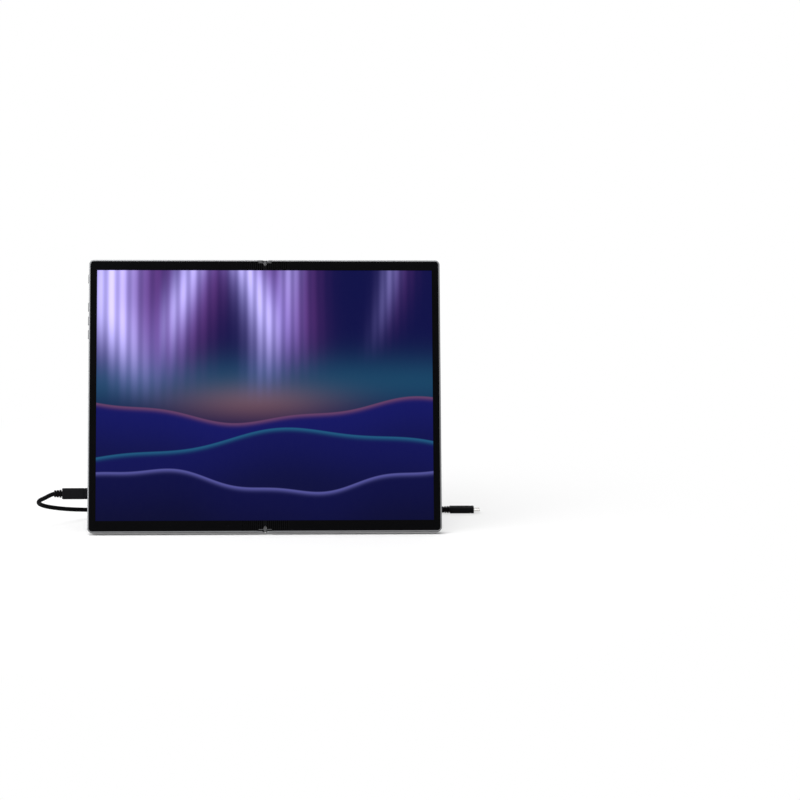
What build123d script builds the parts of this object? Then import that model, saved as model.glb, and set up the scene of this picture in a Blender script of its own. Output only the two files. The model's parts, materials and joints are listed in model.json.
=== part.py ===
from build123d import *
import math
import os

os.makedirs("parts", exist_ok=True)

# A folding portable monitor, in millimetres. It is modelled upright and flat, X to the viewer's
# right, Y back into the casing from the rim's front face, Z up from the bottom edge, with the fold
# line at X = 0. At the end it is leaned back onto its kickstand and set on the table at Z = 0.

# Screen and casing
ACTIVE_WIDTH = 351.5
ACTIVE_HEIGHT = 263.6
SIDE_BORDER = 8.5
TOP_BORDER = 11.0
BOTTOM_BORDER = 12.4
THICKNESS = 9.7
WALL = 1.5
REAR_WALL = 1.2
CORNER_RADIUS = 5.0
FOLD_CORNER_RADIUS = 1.2
REAR_EDGE_RADIUS = 1.8
RIM_RADIUS = 1.1
FRONT_EDGE_RADIUS = 0.5
SEAM = 0.3

# Clearances
FIT = 0.05
GAP = 0.3
ROUND_END_RATIO = 0.49

# Screen stack, from the front
BEZEL_FRONT = 0.2
BEZEL_LIP = 0.55
BEZEL_DEPTH = 1.3
BEZEL_RING = 3.5
DISPLAY_FRONT = 0.8
DISPLAY_THICKNESS = 0.7
DISPLAY_MARGIN = 3.0
PLATE_THICKNESS = 0.8

# Fold: two parallel axes, one for each half, with the spine between them
FOLD_AXIS_DEPTH = 4.2
CLOSED_GAP = 0.6
BEND_HALF_WIDTH = 14.0
FLEX_HALF_WIDTH = 24.0
RIB_PITCH = 2.1
RIB_GROOVE = 0.9
RIB_DEPTH = 0.25
SPINE_WALL = 1.2
SPINE_BED_WIDTH = 1.6
ARM_THICKNESS = 1.6
POST_RECESS = 1.1
POST_THICKNESS = 0.7
POST_TAPER = 2.6
LOWER_POST_HEIGHT = 6.9
UPPER_POST_HEIGHT = 6.5
WING_WIDTH = 8.0
WING_THICKNESS = 0.6
WING_PIVOT_RADIUS = 0.5

# Hinge gears and shafts, along the fold from each end of the spine
GEAR_TEETH = 10
PRESSURE_ANGLE = 20.0
ADDENDUM = 0.73
DEDENDUM = 1.15
FLANK_RELIEF_ANGLE = 1.5
GEAR_FACE = 3.2
SHAFT_RADIUS = 0.9
HUB_RADIUS = 2.2
CAP_THICKNESS = 1.0
BLOCK_PLATE = 1.5
WASHER_THICKNESS = 0.45
WASHER_COUNT = 3
ARM_HEIGHT = 2.7
ARM_FLANGE_WIDTH = 14.5
ARM_FLANGE_HEIGHT = 10.0

# Kickstand on the left half
KICKSTAND_SIDE_MARGIN = 36.25
KICKSTAND_FOLD_MARGIN = 28.0
KICKSTAND_AXIS_HEIGHT = 125.0
KICKSTAND_BOTTOM = 4.0
KICKSTAND_THICKNESS = 2.0
KICKSTAND_OPEN_ANGLE = 34.0
KICKSTAND_SUNK = 0.1
KICKSTAND_FOOT = 5.0
KICKSTAND_TONGUE = 2.0
KICKSTAND_PIN_RADIUS = 0.6
KICKSTAND_BRACKET_WIDTH = 6.0
KICKSTAND_BRACKET_INSET = 10.0
POCKET_FLOOR = 1.0
THUMB_RADIUS = 9.0
THUMB_DEPTH_SHARE = 0.6
THUMB_HEIGHT = 22.0

# Buttons on the left side, measured down from the top edge
BUTTON_DROPS = {"power_button": 19.8, "menu_button": 49.7, "up_button": 64.3, "down_button": 78.8}
BUTTON_LENGTH = 9.5
BUTTON_BREADTH = 2.4
BUTTON_PROUD = 0.9
BUTTON_DEPTH = 4.6
BUTTON_FLANGE = 0.8
BUTTON_FLANGE_EDGE = 0.8
BUTTON_STEM_RADIUS = 0.8
BUTTON_STEM = 1.1
BUTTON_TRAVEL = 0.4
SWITCH_THICKNESS = 1.6
SWITCH_SIZE = 3.0
BUTTON_BOARD = 0.8
BUTTON_BOARD_FRONT = 2.7
BUTTON_BOARD_END = 8.0

# Ports on the left side, measured up from the bottom edge
PORT_DEPTH = 4.85
USB_PORT_HEIGHT = 41.3
USB_PORT_SPACING = 18.0
HDMI_PORT_SPACING = 22.0
USB_LENGTH = 8.94
USB_BREADTH = 3.16
USB_REACH = 7.35
USB_SHELL = 0.3
USB_TONGUE_LENGTH = 6.69
USB_TONGUE_BREADTH = 0.7
USB_TONGUE_REACH = 4.45
HDMI_LENGTH = 11.2
HDMI_BREADTH = 3.2
HDMI_REACH = 7.5
HDMI_CHAMFER = 1.0
HDMI_TONGUE_LENGTH = 8.0
PORT_RECESS = 0.3

# Boards
BOARD_THICKNESS = 1.0
MAIN_BOARD_MARGIN = 8.0
MAIN_BOARD_BELOW = 14.0
MAIN_BOARD_ABOVE = 32.0
CHIP_SIZE = 6.5
CHIP_THICKNESS = 1.2
DRIVER_BOARD_WIDTH = 100.0
DRIVER_BOARD_BOTTOM = 6.0
DRIVER_BOARD_HEIGHT = 12.0
RIBBON_WIDTH = 50.0
RIBBON_THICKNESS = 0.3
RIBBON_DROP = 2.4
RIBBON_LAP = 4.0
RIBBON_SLOT_EDGE = 1.0

# Screws that hold each support plate to bosses in its rear cover. The places are shares of the half's
# width in from the outer side, and of the height up from the bottom
BOSS_PLACES = [
    (0.044, 0.049), (0.044, 0.527), (0.119, 0.955), (0.521, 0.955),
    (0.51, 0.527), (0.868, 0.72), (0.868, 0.316),
]
BOSS_RADIUS = 2.5
SCREW_RADIUS = 0.8
SCREW_HEAD_RADIUS = 1.7
SCREW_HEAD = 0.45
SCREW_LENGTH = 4.5

# USB-C cable
PLUG_LENGTH = 26.0
PLUG_BREADTH = 11.6
PLUG_DEPTH = 6.8
PLUG_ROUND = 2.8
PLUG_END_ROUND = 0.8
PLUG_COLLAR = 3.0
PLUG_GROOVE = 0.35
PLUG_TIP_LENGTH = 8.25
PLUG_TIP_BREADTH = 2.4
PLUG_TIP_REACH = 6.5
PLUG_TIP_WALL = 0.25
BOOT_SEGMENT = 1.8
BOOT_GROOVE = 0.9
BOOT_SEGMENTS = 3
BOOT_BREADTH = 8.0
BOOT_DEPTH = 6.2
BOOT_STEP = 0.5
BOOT_CORE_RADIUS = 2.7
CORD_DIAMETER = 4.5

# Worked out from the sizes above
WIDTH = ACTIVE_WIDTH + 2 * SIDE_BORDER
HEIGHT = ACTIVE_HEIGHT + TOP_BORDER + BOTTOM_BORDER
SIDE = -WIDTH / 2
FOLD_AXIS_X = FOLD_AXIS_DEPTH + CLOSED_GAP / 2
DISPLAY_BACK = DISPLAY_FRONT + DISPLAY_THICKNESS
PLATE_FRONT = DISPLAY_BACK + FIT
PLATE_BACK = PLATE_FRONT + PLATE_THICKNESS
PLATE_FOLD_X = -BEND_HALF_WIDTH - 1.5 * WALL
REAR_INSIDE = THICKNESS - REAR_WALL
SPINE_RADIUS = REAR_INSIDE - GAP - FOLD_AXIS_DEPTH
SPINE_INSIDE = SPINE_RADIUS - SPINE_WALL
SPINE_END = WALL + GAP
POST_FRONT = POST_RECESS + FIT * 2
QUARTER_RADIUS = FOLD_AXIS_DEPTH - POST_RECESS
POST_HALF_WIDTH = FOLD_AXIS_X - QUARTER_RADIUS - 4 * FIT
NOTCH_X = FOLD_AXIS_X + FOLD_AXIS_DEPTH - POST_FRONT + GAP
GEAR_RADIUS = FOLD_AXIS_X / 3
GEAR_MODULE = 2 * GEAR_RADIUS / GEAR_TEETH
LOWER_PLATE_Z = SPINE_END + CAP_THICKNESS + GAP
GEAR_Z = LOWER_PLATE_Z + BLOCK_PLATE + GAP
UPPER_PLATE_Z = GEAR_Z + GEAR_FACE + GAP
WASHER_Z = UPPER_PLATE_Z + BLOCK_PLATE + FIT
ARM_Z = WASHER_Z + WASHER_COUNT * (WASHER_THICKNESS + FIT)
SHAFT_TOP_Z = ARM_Z + ARM_HEIGHT + FIT
MODULE_END = SHAFT_TOP_Z + GAP
WING_END = MODULE_END + 2.5 * WALL
WING_PIVOT_Y = PLATE_FRONT + WING_THICKNESS + FIT + WING_PIVOT_RADIUS / 2
WING_PIVOT_X = -BEND_HALF_WIDTH - FIT
KICKSTAND_AXIS_Y = THICKNESS - KICKSTAND_SUNK - KICKSTAND_THICKNESS / 2
KICKSTAND_LENGTH = KICKSTAND_AXIS_HEIGHT - KICKSTAND_BOTTOM
KICKSTAND_LEFT = SIDE + KICKSTAND_SIDE_MARGIN
KICKSTAND_WIDTH = -KICKSTAND_FOLD_MARGIN - KICKSTAND_LEFT
DRIVER_BOARD_LEFT = KICKSTAND_LEFT + (KICKSTAND_WIDTH - DRIVER_BOARD_WIDTH) / 2
USB_PORT_HEIGHTS = {
    "usb_c_port_lower": USB_PORT_HEIGHT,
    "usb_c_port_upper": USB_PORT_HEIGHT + USB_PORT_SPACING,
}
HDMI_HEIGHT = USB_PORT_HEIGHT + USB_PORT_SPACING + HDMI_PORT_SPACING
MAIN_BOARD_LEFT = SIDE + PORT_RECESS + WALL
MAIN_BOARD_RIGHT = KICKSTAND_LEFT - MAIN_BOARD_MARGIN
MAIN_BOARD_BOTTOM = USB_PORT_HEIGHT - MAIN_BOARD_BELOW
MAIN_BOARD_TOP = HDMI_HEIGHT + MAIN_BOARD_ABOVE
POCKET_DEPTH = KICKSTAND_THICKNESS + KICKSTAND_SUNK + FIT * 2
BOARD_FRONT = PORT_DEPTH + USB_BREADTH / 2 + FIT
PLUG_BACK = SIDE - GAP
BOOT_LENGTH = BOOT_SEGMENTS * (BOOT_SEGMENT + BOOT_GROOVE)

# The lean: the rounded rear edge and the foot's sole both touch the table
foot_y = KICKSTAND_AXIS_Y + KICKSTAND_LENGTH * math.sin(math.radians(KICKSTAND_OPEN_ANGLE))
foot_z = KICKSTAND_AXIS_HEIGHT - KICKSTAND_LENGTH * math.cos(math.radians(KICKSTAND_OPEN_ANGLE))
edge_y = THICKNESS - REAR_EDGE_RADIUS
reach = math.hypot(foot_y - edge_y, foot_z - REAR_EDGE_RADIUS)
rise = math.atan2(foot_z - REAR_EDGE_RADIUS, foot_y - edge_y)
LEAN = math.degrees(rise + math.asin(REAR_EDGE_RADIUS / reach))
SOLE_ANGLE = KICKSTAND_OPEN_ANGLE - LEAN


def plate(outline, front, back):
    """Extrude an outline drawn in X and Z from one depth to another."""
    return extrude(Plane.XZ.offset(-back) * outline, back - front)


def bar(section, low, high):
    """Extrude a section drawn in X and Y from one height to another."""
    return extrude(Pos(0, 0, low) * section, high - low)


def rod(section, left, right):
    """Extrude a section drawn in Y and Z from one side to another."""
    return extrude(Plane.YZ.offset(left) * section, right - left)


def block(x0, x1, y0, y1, z0, z1):
    return Pos((x0 + x1) / 2, (y0 + y1) / 2, (z0 + z1) / 2) * Box(x1 - x0, y1 - y0, z1 - z0)


def disc(x, y, radius, low, high):
    return bar(Pos(x, y) * Circle(radius), low, high)


def stud(x, z, radius, front, back):
    return plate(Pos(x, z) * Circle(radius), front, back)


def other_side(part):
    return mirror(part, about=Plane.YZ)


def other_end(part):
    return mirror(part, about=Plane.XY.offset(HEIGHT / 2))


def half_outline(inset, fold_x):
    """The left half's outline with round outer corners, up to a line beside the fold."""
    width = fold_x - SIDE - inset
    outline = Pos(fold_x - width / 2, HEIGHT / 2) * Rectangle(width, HEIGHT - 2 * inset)
    return fillet(outline.vertices().sort_by(Axis.X)[:2], CORNER_RADIUS - inset)


def fold_relief():
    """What is cut from a half's end walls so that they turn clear of the spine's posts."""
    keep = Pos(-FOLD_AXIS_X, FOLD_AXIS_DEPTH) * Circle(QUARTER_RADIUS)
    corner = Pos(-NOTCH_X / 2, 0) * Rectangle(NOTCH_X, 2 * FOLD_AXIS_DEPTH)
    step_width = NOTCH_X - FOLD_AXIS_X
    step = Pos(-FOLD_AXIS_X - step_width / 2, FOLD_AXIS_DEPTH - QUARTER_RADIUS / 2)
    return bar(corner - keep - step * Rectangle(step_width, QUARTER_RADIUS), -WALL, HEIGHT + WALL)


def fold_corner():
    """The sliver that rounds a half's lower corner beside the fold."""
    radius = FOLD_CORNER_RADIUS
    square = Pos(-SEAM / 2 - radius / 2, radius / 2) * Rectangle(radius, radius)
    return plate(square - Pos(-SEAM / 2 - radius, radius) * Circle(radius), -WALL, THICKNESS + WALL)


def boss_places():
    return [(SIDE * (1 - inward), HEIGHT * up) for inward, up in BOSS_PLACES]


def rear_cover(blank_floor=None):
    """A metal tray: rear wall, end walls, outer side wall and screw bosses."""
    shell = plate(half_outline(0, -SEAM / 2), 0, THICKNESS)
    rear = shell.faces().sort_by(Axis.Y)[-1].edges().sort_by(Axis.X)[:-1]
    shell = fillet(rear, REAR_EDGE_RADIUS)
    front = shell.faces().sort_by(Axis.Y)[0].edges().sort_by(Axis.X)[:-1]
    shell = fillet(front, RIM_RADIUS)
    cavity = plate(half_outline(WALL, WALL), -WALL, REAR_INSIDE)
    if blank_floor:
        cavity -= blank_floor
    for x, z in boss_places():
        cavity -= stud(x, z, BOSS_RADIUS, PLATE_BACK + FIT, THICKNESS)
    shell -= cavity
    for x, z in boss_places():
        shell -= stud(x, z, SCREW_RADIUS + FIT, 0, PLATE_FRONT + SCREW_LENGTH + FIT)
    corner = fold_corner()
    return shell - fold_relief() - corner - other_end(corner)


def pocket_outline(edge):
    width = KICKSTAND_WIDTH + 2 * edge
    top = KICKSTAND_AXIS_HEIGHT + KICKSTAND_THICKNESS / 2 + edge
    bottom = KICKSTAND_BOTTOM - edge
    centre = Pos(KICKSTAND_LEFT + KICKSTAND_WIDTH / 2, (top + bottom) / 2)
    return centre * Rectangle(width, top - bottom)


def left_rear_cover():
    """The left tray, with the kickstand's pocket, the port cut-outs and the button slots."""
    floor_depth = THICKNESS - POCKET_DEPTH
    floor = plate(pocket_outline(GAP + POCKET_FLOOR), floor_depth - POCKET_FLOOR, THICKNESS)
    cover = rear_cover(floor) - plate(pocket_outline(GAP), floor_depth, THICKNESS + WALL)
    thumb = Pos(KICKSTAND_LEFT - GAP, THUMB_HEIGHT)
    cover -= plate(thumb * Circle(THUMB_RADIUS), THICKNESS - THUMB_DEPTH_SHARE * REAR_WALL, THICKNESS + WALL)
    for height in USB_PORT_HEIGHTS.values():
        mouth = port_face(height, USB_LENGTH + 2 * FIT, USB_BREADTH + 2 * FIT)
        cover -= rod(mouth, SIDE - WALL, SIDE + 2 * WALL)
    cover -= rod(hdmi_face(FIT), SIDE - WALL, SIDE + 2 * WALL)
    for drop in BUTTON_DROPS.values():
        cover -= rod(button_face(drop, FIT * 2), SIDE - WALL, SIDE + 2 * WALL)
    for x, z in board_screw_places():
        cover += stud(x, z, BOSS_RADIUS, BOARD_FRONT + BOARD_THICKNESS, REAR_INSIDE)
        cover -= stud(x, z, SCREW_RADIUS + FIT, BOARD_FRONT, REAR_INSIDE)
    return cover


def bezel():
    """A U of black plastic: a thin lip over the screen's edge on a ring against the casing wall."""
    edge = WALL + FIT
    window_left = SIDE + SIDE_BORDER
    window = Pos(window_left + WIDTH / 2, BOTTOM_BORDER + ACTIVE_HEIGHT / 2) * Rectangle(WIDTH, ACTIVE_HEIGHT)
    ring_edge = edge + BEZEL_RING
    ring_width = WIDTH
    inner = Pos(SIDE + ring_edge + ring_width / 2, HEIGHT / 2) * Rectangle(ring_width, HEIGHT - 2 * ring_edge)
    outline = half_outline(edge, -FLEX_HALF_WIDTH)
    lip = plate(outline - window, BEZEL_FRONT, BEZEL_FRONT + BEZEL_LIP)
    return lip + plate(outline - inner, BEZEL_FRONT, BEZEL_FRONT + BEZEL_DEPTH)


def flex_bezel(low, high, notch_height):
    """The lower flexible strip across the fold, with upright grooves and a notch for the spine's post."""
    back = BEZEL_FRONT + BEZEL_LIP
    outline = Pos(0, (low + high) / 2) * Rectangle(2 * FLEX_HALF_WIDTH, high - low)
    half = POST_HALF_WIDTH + GAP
    outline -= make_face(Polyline((-half, low - WALL), (half, low - WALL), (half, notch_height - half),
                                  (0, notch_height), (-half, notch_height - half), close=True))
    strip = plate(outline, BEZEL_FRONT, back)
    count = int((FLEX_HALF_WIDTH - half) / RIB_PITCH)
    for step in range(1, count):
        x = half + step * RIB_PITCH
        groove = block(x - RIB_GROOVE / 2, x + RIB_GROOVE / 2, 0, BEZEL_FRONT + RIB_DEPTH, low, high)
        strip -= [groove, other_side(groove)]
    return strip


def display(left, right):
    centre = Pos((left + right) / 2, BOTTOM_BORDER + ACTIVE_HEIGHT / 2)
    outline = centre * Rectangle(right - left, ACTIVE_HEIGHT + 2 * DISPLAY_MARGIN)
    return plate(outline, DISPLAY_FRONT, DISPLAY_BACK)


def support_plate():
    """The flat plate behind the screen, with countersunk screw holes and the wing plate's two ears."""
    sheet = plate(half_outline(WALL + FIT, PLATE_FOLD_X), PLATE_FRONT, PLATE_BACK)
    for x, z in boss_places():
        sheet -= stud(x, z, SCREW_HEAD_RADIUS + FIT, 0, PLATE_FRONT + SCREW_HEAD + FIT)
        sheet -= stud(x, z, SCREW_RADIUS + FIT, 0, PLATE_BACK)
    ear_x = WING_PIVOT_X + 2 * WING_PIVOT_RADIUS
    ear = block(PLATE_FOLD_X - 2 * WALL, ear_x, PLATE_FRONT, WING_PIVOT_Y + 2 * WING_PIVOT_RADIUS,
                WING_END - 2 * WALL, WING_END - FIT)
    ear -= disc(WING_PIVOT_X, WING_PIVOT_Y, WING_PIVOT_RADIUS + FIT, 0, HEIGHT)
    return sheet + ear + other_end(ear)


def left_support_plate():
    """The left plate also has a slot for the screen's ribbon."""
    top = BOTTOM_BORDER - DISPLAY_MARGIN - RIBBON_DROP + RIBBON_THICKNESS + RIBBON_SLOT_EDGE
    bottom = top - RIBBON_THICKNESS - 2 * RIBBON_SLOT_EDGE
    left, right = ribbon_sides()
    slot = block(left - RIBBON_SLOT_EDGE, right + RIBBON_SLOT_EDGE, 0, PLATE_BACK + FIT, bottom, top)
    return support_plate() - slot


def plate_screws():
    front = PLATE_FRONT + FIT
    screws = []
    for x, z in boss_places():
        head = stud(x, z, SCREW_HEAD_RADIUS, front, PLATE_FRONT + SCREW_HEAD)
        screws.append(head + stud(x, z, SCREW_RADIUS, front, PLATE_FRONT + SCREW_LENGTH))
    return Compound(screws)


def wing_plate():
    """The plate behind the bending zone: it tilts back about two end pins as the monitor folds."""
    right = -BEND_HALF_WIDTH + WING_WIDTH
    sheet = block(WING_PIVOT_X, right, PLATE_FRONT, PLATE_FRONT + WING_THICKNESS, WING_END, HEIGHT - WING_END)
    pin_end = WING_END - 2 * WALL
    pin = disc(WING_PIVOT_X, WING_PIVOT_Y, WING_PIVOT_RADIUS, pin_end, HEIGHT - pin_end)
    return sheet + pin


# Spine and hinge

def stadium(radius):
    """A round-ended section about the two fold axes."""
    ends = Pos(-FOLD_AXIS_X, FOLD_AXIS_DEPTH) * Circle(radius)
    ends += Pos(FOLD_AXIS_X, FOLD_AXIS_DEPTH) * Circle(radius)
    return ends + Pos(0, FOLD_AXIS_DEPTH) * Rectangle(2 * FOLD_AXIS_X, 2 * radius)


def spine_channel():
    """The round-backed channel between the halves, with the bed that carries the screen's centre line."""
    front = FOLD_AXIS_DEPTH + ARM_THICKNESS / 2 + 2 * GAP
    half = FOLD_AXIS_X + 2 * SPINE_RADIUS
    open_front = Pos(0, front - SPINE_RADIUS) * Rectangle(2 * half, 2 * SPINE_RADIUS)
    channel = bar(stadium(SPINE_RADIUS) - stadium(SPINE_INSIDE) - open_front, SPINE_END, HEIGHT - SPINE_END)
    bed = block(-SPINE_BED_WIDTH / 2, SPINE_BED_WIDTH / 2, PLATE_FRONT, FOLD_AXIS_DEPTH + SPINE_INSIDE + FIT,
                WING_END, HEIGHT - WING_END)
    return channel + bed


def spine_cap(post_height):
    """The lower end cap: a plate in the channel's end and a post that shows in the notch of the fold."""
    cap = bar(stadium(SPINE_INSIDE - FIT), SPINE_END, SPINE_END + CAP_THICKNESS)
    neck = block(-POST_HALF_WIDTH, POST_HALF_WIDTH, POST_FRONT, FOLD_AXIS_DEPTH,
                 FRONT_EDGE_RADIUS, SPINE_END + FIT)
    half = POST_HALF_WIDTH
    shoulder = post_height - POST_TAPER
    outline = Polyline((-half, FRONT_EDGE_RADIUS), (half, FRONT_EDGE_RADIUS), (half, shoulder),
                       (FIT, post_height), (-FIT, post_height), (-half, shoulder), close=True)
    return cap + neck + plate(make_face(outline), POST_FRONT, POST_FRONT + POST_THICKNESS)


def gear(x, phase):
    """A spur gear with straight-sided stub teeth cut along the involute."""
    base = GEAR_RADIUS * math.cos(math.radians(PRESSURE_ANGLE))
    tip = GEAR_RADIUS + ADDENDUM * GEAR_MODULE
    root = GEAR_RADIUS - DEDENDUM * GEAR_MODULE
    half_tooth = 90 / GEAR_TEETH - FLANK_RELIEF_ANGLE

    def flank(radius):
        """The tooth's half angle at a radius, in degrees."""
        def involute(r):
            a = math.acos(min(1, base / r))
            return math.degrees(math.tan(a) - a)
        return half_tooth + involute(GEAR_RADIUS) - involute(max(radius, base))

    points = []
    for tooth in range(GEAR_TEETH):
        middle = phase + 360 * tooth / GEAR_TEETH
        radii = [root, base, GEAR_RADIUS, tip]
        sides = [(r, -flank(r)) for r in radii] + [(r, flank(r)) for r in reversed(radii)]
        for r, side in sides:
            angle = math.radians(middle + side)
            points.append((x + r * math.cos(angle), FOLD_AXIS_DEPTH + r * math.sin(angle)))
    return bar(make_face(Polyline(*points, close=True)), GEAR_Z, GEAR_Z + GEAR_FACE)


def pinion(x, phase):
    """A half's shaft in one hinge block, with its gear cut on it."""
    return gear(x, phase) + disc(x, FOLD_AXIS_DEPTH, SHAFT_RADIUS, LOWER_PLATE_Z, SHAFT_TOP_Z)


def idler(x, phase):
    """A gear that carries the turn between the halves, on its own short pins."""
    return gear(x, phase) + disc(x, FOLD_AXIS_DEPTH, SHAFT_RADIUS, LOWER_PLATE_Z, UPPER_PLATE_Z + BLOCK_PLATE)


def hinge_block():
    """Two bored plates on a web, fixed in the spine: the shafts and idlers turn in them."""
    back = FOLD_AXIS_DEPTH + SPINE_INSIDE - FIT
    web_front = FOLD_AXIS_DEPTH + GEAR_RADIUS + GEAR_MODULE + FIT
    seat = Pos(0, (FOLD_AXIS_DEPTH + back) / 2) * Rectangle(2 * FOLD_AXIS_X, back - FOLD_AXIS_DEPTH)
    outline = stadium(HUB_RADIUS) + seat
    for step in (-3, -1, 1, 3):
        outline -= Pos(step * GEAR_RADIUS, FOLD_AXIS_DEPTH) * Circle(SHAFT_RADIUS + FIT)
    high = UPPER_PLATE_Z + BLOCK_PLATE
    whole = bar(outline, LOWER_PLATE_Z, LOWER_PLATE_Z + BLOCK_PLATE) + bar(outline, UPPER_PLATE_Z, high)
    return whole + block(-FOLD_AXIS_X, FOLD_AXIS_X, web_front, back, LOWER_PLATE_Z, high)


def friction_washers():
    ring = Pos(-FOLD_AXIS_X, FOLD_AXIS_DEPTH) * (Circle(HUB_RADIUS) - Circle(SHAFT_RADIUS + FIT))
    stack = []
    for step in range(WASHER_COUNT):
        low = WASHER_Z + step * (WASHER_THICKNESS + FIT)
        washer = bar(ring, low, low + WASHER_THICKNESS)
        stack += [washer, other_end(washer)]
    return Compound(stack)


def hinge_arm():
    """A half's arm to its shaft: a hub, a bar and a flange that is screwed behind the support plate."""
    high = ARM_Z + ARM_HEIGHT
    right = -FOLD_AXIS_X - SPINE_RADIUS - 2 * GAP
    left = right - ARM_FLANGE_WIDTH
    half = ARM_THICKNESS / 2
    hub = disc(-FOLD_AXIS_X, FOLD_AXIS_DEPTH, HUB_RADIUS, ARM_Z, high)
    beam = block(left, -FOLD_AXIS_X, FOLD_AXIS_DEPTH - half, FOLD_AXIS_DEPTH + half, ARM_Z, high)
    flange = block(left, right, PLATE_BACK + FIT, FOLD_AXIS_DEPTH, high - ARM_FLANGE_HEIGHT, high)
    return hub + beam + flange - disc(-FOLD_AXIS_X, FOLD_AXIS_DEPTH, SHAFT_RADIUS + FIT, ARM_Z, high)


# Kickstand

def opened(part):
    """Turn a kickstand piece from its pocket to its open stop."""
    axis = Axis((0, KICKSTAND_AXIS_Y, KICKSTAND_AXIS_HEIGHT), (1, 0, 0))
    return part.rotate(axis, KICKSTAND_OPEN_ANGLE)


def bracket_places():
    first = KICKSTAND_LEFT + KICKSTAND_BRACKET_INSET
    return [first, KICKSTAND_LEFT + KICKSTAND_WIDTH - KICKSTAND_BRACKET_INSET]


def kickstand_flap():
    """The flap, round along its hinge edge, slotted for the brackets, with a tongue for the foot."""
    half = KICKSTAND_THICKNESS / 2
    right = KICKSTAND_LEFT + KICKSTAND_WIDTH
    shoulder = KICKSTAND_BOTTOM + KICKSTAND_FOOT
    flap = block(KICKSTAND_LEFT, right, KICKSTAND_AXIS_Y - half, KICKSTAND_AXIS_Y + half,
                 shoulder, KICKSTAND_AXIS_HEIGHT)
    flap += block(KICKSTAND_LEFT, right, KICKSTAND_AXIS_Y - half / 3, KICKSTAND_AXIS_Y + half / 3,
                  shoulder - KICKSTAND_TONGUE, shoulder)
    flap += hinge_rod(half, KICKSTAND_LEFT, right)
    gap = KICKSTAND_BRACKET_WIDTH / 2 + GAP / 2
    reach = KICKSTAND_BRACKET_WIDTH
    for x in bracket_places():
        flap -= block(x - gap, x + gap, 0, 2 * THICKNESS,
                      KICKSTAND_AXIS_HEIGHT - 2 * half, KICKSTAND_AXIS_HEIGHT + 2 * half)
        flap -= hinge_rod(KICKSTAND_PIN_RADIUS + FIT, x - reach, x + reach)
    return opened(flap)


def hinge_rod(radius, left, right):
    return rod(Pos(KICKSTAND_AXIS_Y, KICKSTAND_AXIS_HEIGHT) * Circle(radius), left, right)


def kickstand_foot():
    """A rubber strip over the flap's tongue, with its sole cut level with the table."""
    half = KICKSTAND_THICKNESS / 2
    right = KICKSTAND_LEFT + KICKSTAND_WIDTH
    top = KICKSTAND_BOTTOM + KICKSTAND_FOOT - FIT
    low = KICKSTAND_BOTTOM - KICKSTAND_THICKNESS
    strip = block(KICKSTAND_LEFT, right, KICKSTAND_AXIS_Y - half, KICKSTAND_AXIS_Y + half, low, top)
    slot = half / 3 + FIT
    strip -= block(KICKSTAND_LEFT, right, KICKSTAND_AXIS_Y - slot, KICKSTAND_AXIS_Y + slot,
                   top - KICKSTAND_TONGUE - FIT, top)
    under = Pos(0, KICKSTAND_AXIS_Y, KICKSTAND_BOTTOM) * (Rot(-SOLE_ANGLE, 0, 0) * Pos(0, 0, -THICKNESS / 2)
                                                         * Box(2 * WIDTH, 3 * THICKNESS, THICKNESS))
    return opened(strip - under)


def kickstand_pins():
    reach = KICKSTAND_BRACKET_WIDTH - FIT
    return opened(Compound([hinge_rod(KICKSTAND_PIN_RADIUS, x - reach, x + reach) for x in bracket_places()]))


def kickstand_brackets():
    """Two bored lugs on the pocket's floor that carry the pins."""
    half = KICKSTAND_BRACKET_WIDTH / 2
    radius = KICKSTAND_THICKNESS / 2
    lugs = []
    for x in bracket_places():
        lug = hinge_rod(radius, x - half, x + half)
        lug += block(x - half, x + half, THICKNESS - POCKET_DEPTH, KICKSTAND_AXIS_Y,
                     KICKSTAND_AXIS_HEIGHT - radius, KICKSTAND_AXIS_HEIGHT + radius)
        lugs.append(lug - hinge_rod(KICKSTAND_PIN_RADIUS + FIT, x - half, x + half))
    return Compound(lugs)


# Buttons and ports

def button_face(drop, edge):
    breadth = BUTTON_BREADTH + 2 * edge
    outline = RectangleRounded(breadth, BUTTON_LENGTH + 2 * edge, ROUND_END_RATIO * breadth)
    return Pos(BUTTON_DEPTH, HEIGHT - drop) * outline


def button(drop):
    """A long button through its slot, kept in by a flange, with a stem to its switch."""
    inside = SIDE + WALL + FIT
    stem_end = inside + BUTTON_FLANGE + BUTTON_STEM
    cap = rod(button_face(drop, 0), SIDE - BUTTON_PROUD, inside)
    outer = cap.faces().sort_by(Axis.X)[0].edges()
    cap = fillet(outer, FRONT_EDGE_RADIUS)
    flange = rod(button_face(drop, BUTTON_FLANGE_EDGE), inside, inside + BUTTON_FLANGE)
    stem = rod(Pos(BUTTON_DEPTH, HEIGHT - drop) * Circle(BUTTON_STEM_RADIUS), inside, stem_end)
    return cap + flange + stem


def switch_front():
    return SIDE + WALL + FIT + BUTTON_FLANGE + BUTTON_STEM + BUTTON_TRAVEL + FIT


def button_switches():
    front = switch_front()
    half = SWITCH_SIZE / 2
    switches = []
    for drop in BUTTON_DROPS.values():
        z = HEIGHT - drop
        switches.append(block(front, front + SWITCH_THICKNESS, BUTTON_DEPTH - half, BUTTON_DEPTH + half,
                              z - half, z + half))
    return Compound(switches)


def button_board():
    """A narrow board on edge behind the buttons, standing on the rear wall."""
    front = switch_front() + SWITCH_THICKNESS
    low = HEIGHT - max(BUTTON_DROPS.values()) - BUTTON_BOARD_END
    high = HEIGHT - min(BUTTON_DROPS.values()) + BUTTON_BOARD_END
    return block(front, front + BUTTON_BOARD, BUTTON_BOARD_FRONT, REAR_INSIDE - FIT, low, high)


def port_face(height, length, breadth):
    return Pos(PORT_DEPTH, height) * RectangleRounded(breadth, length, ROUND_END_RATIO * breadth)


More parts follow.
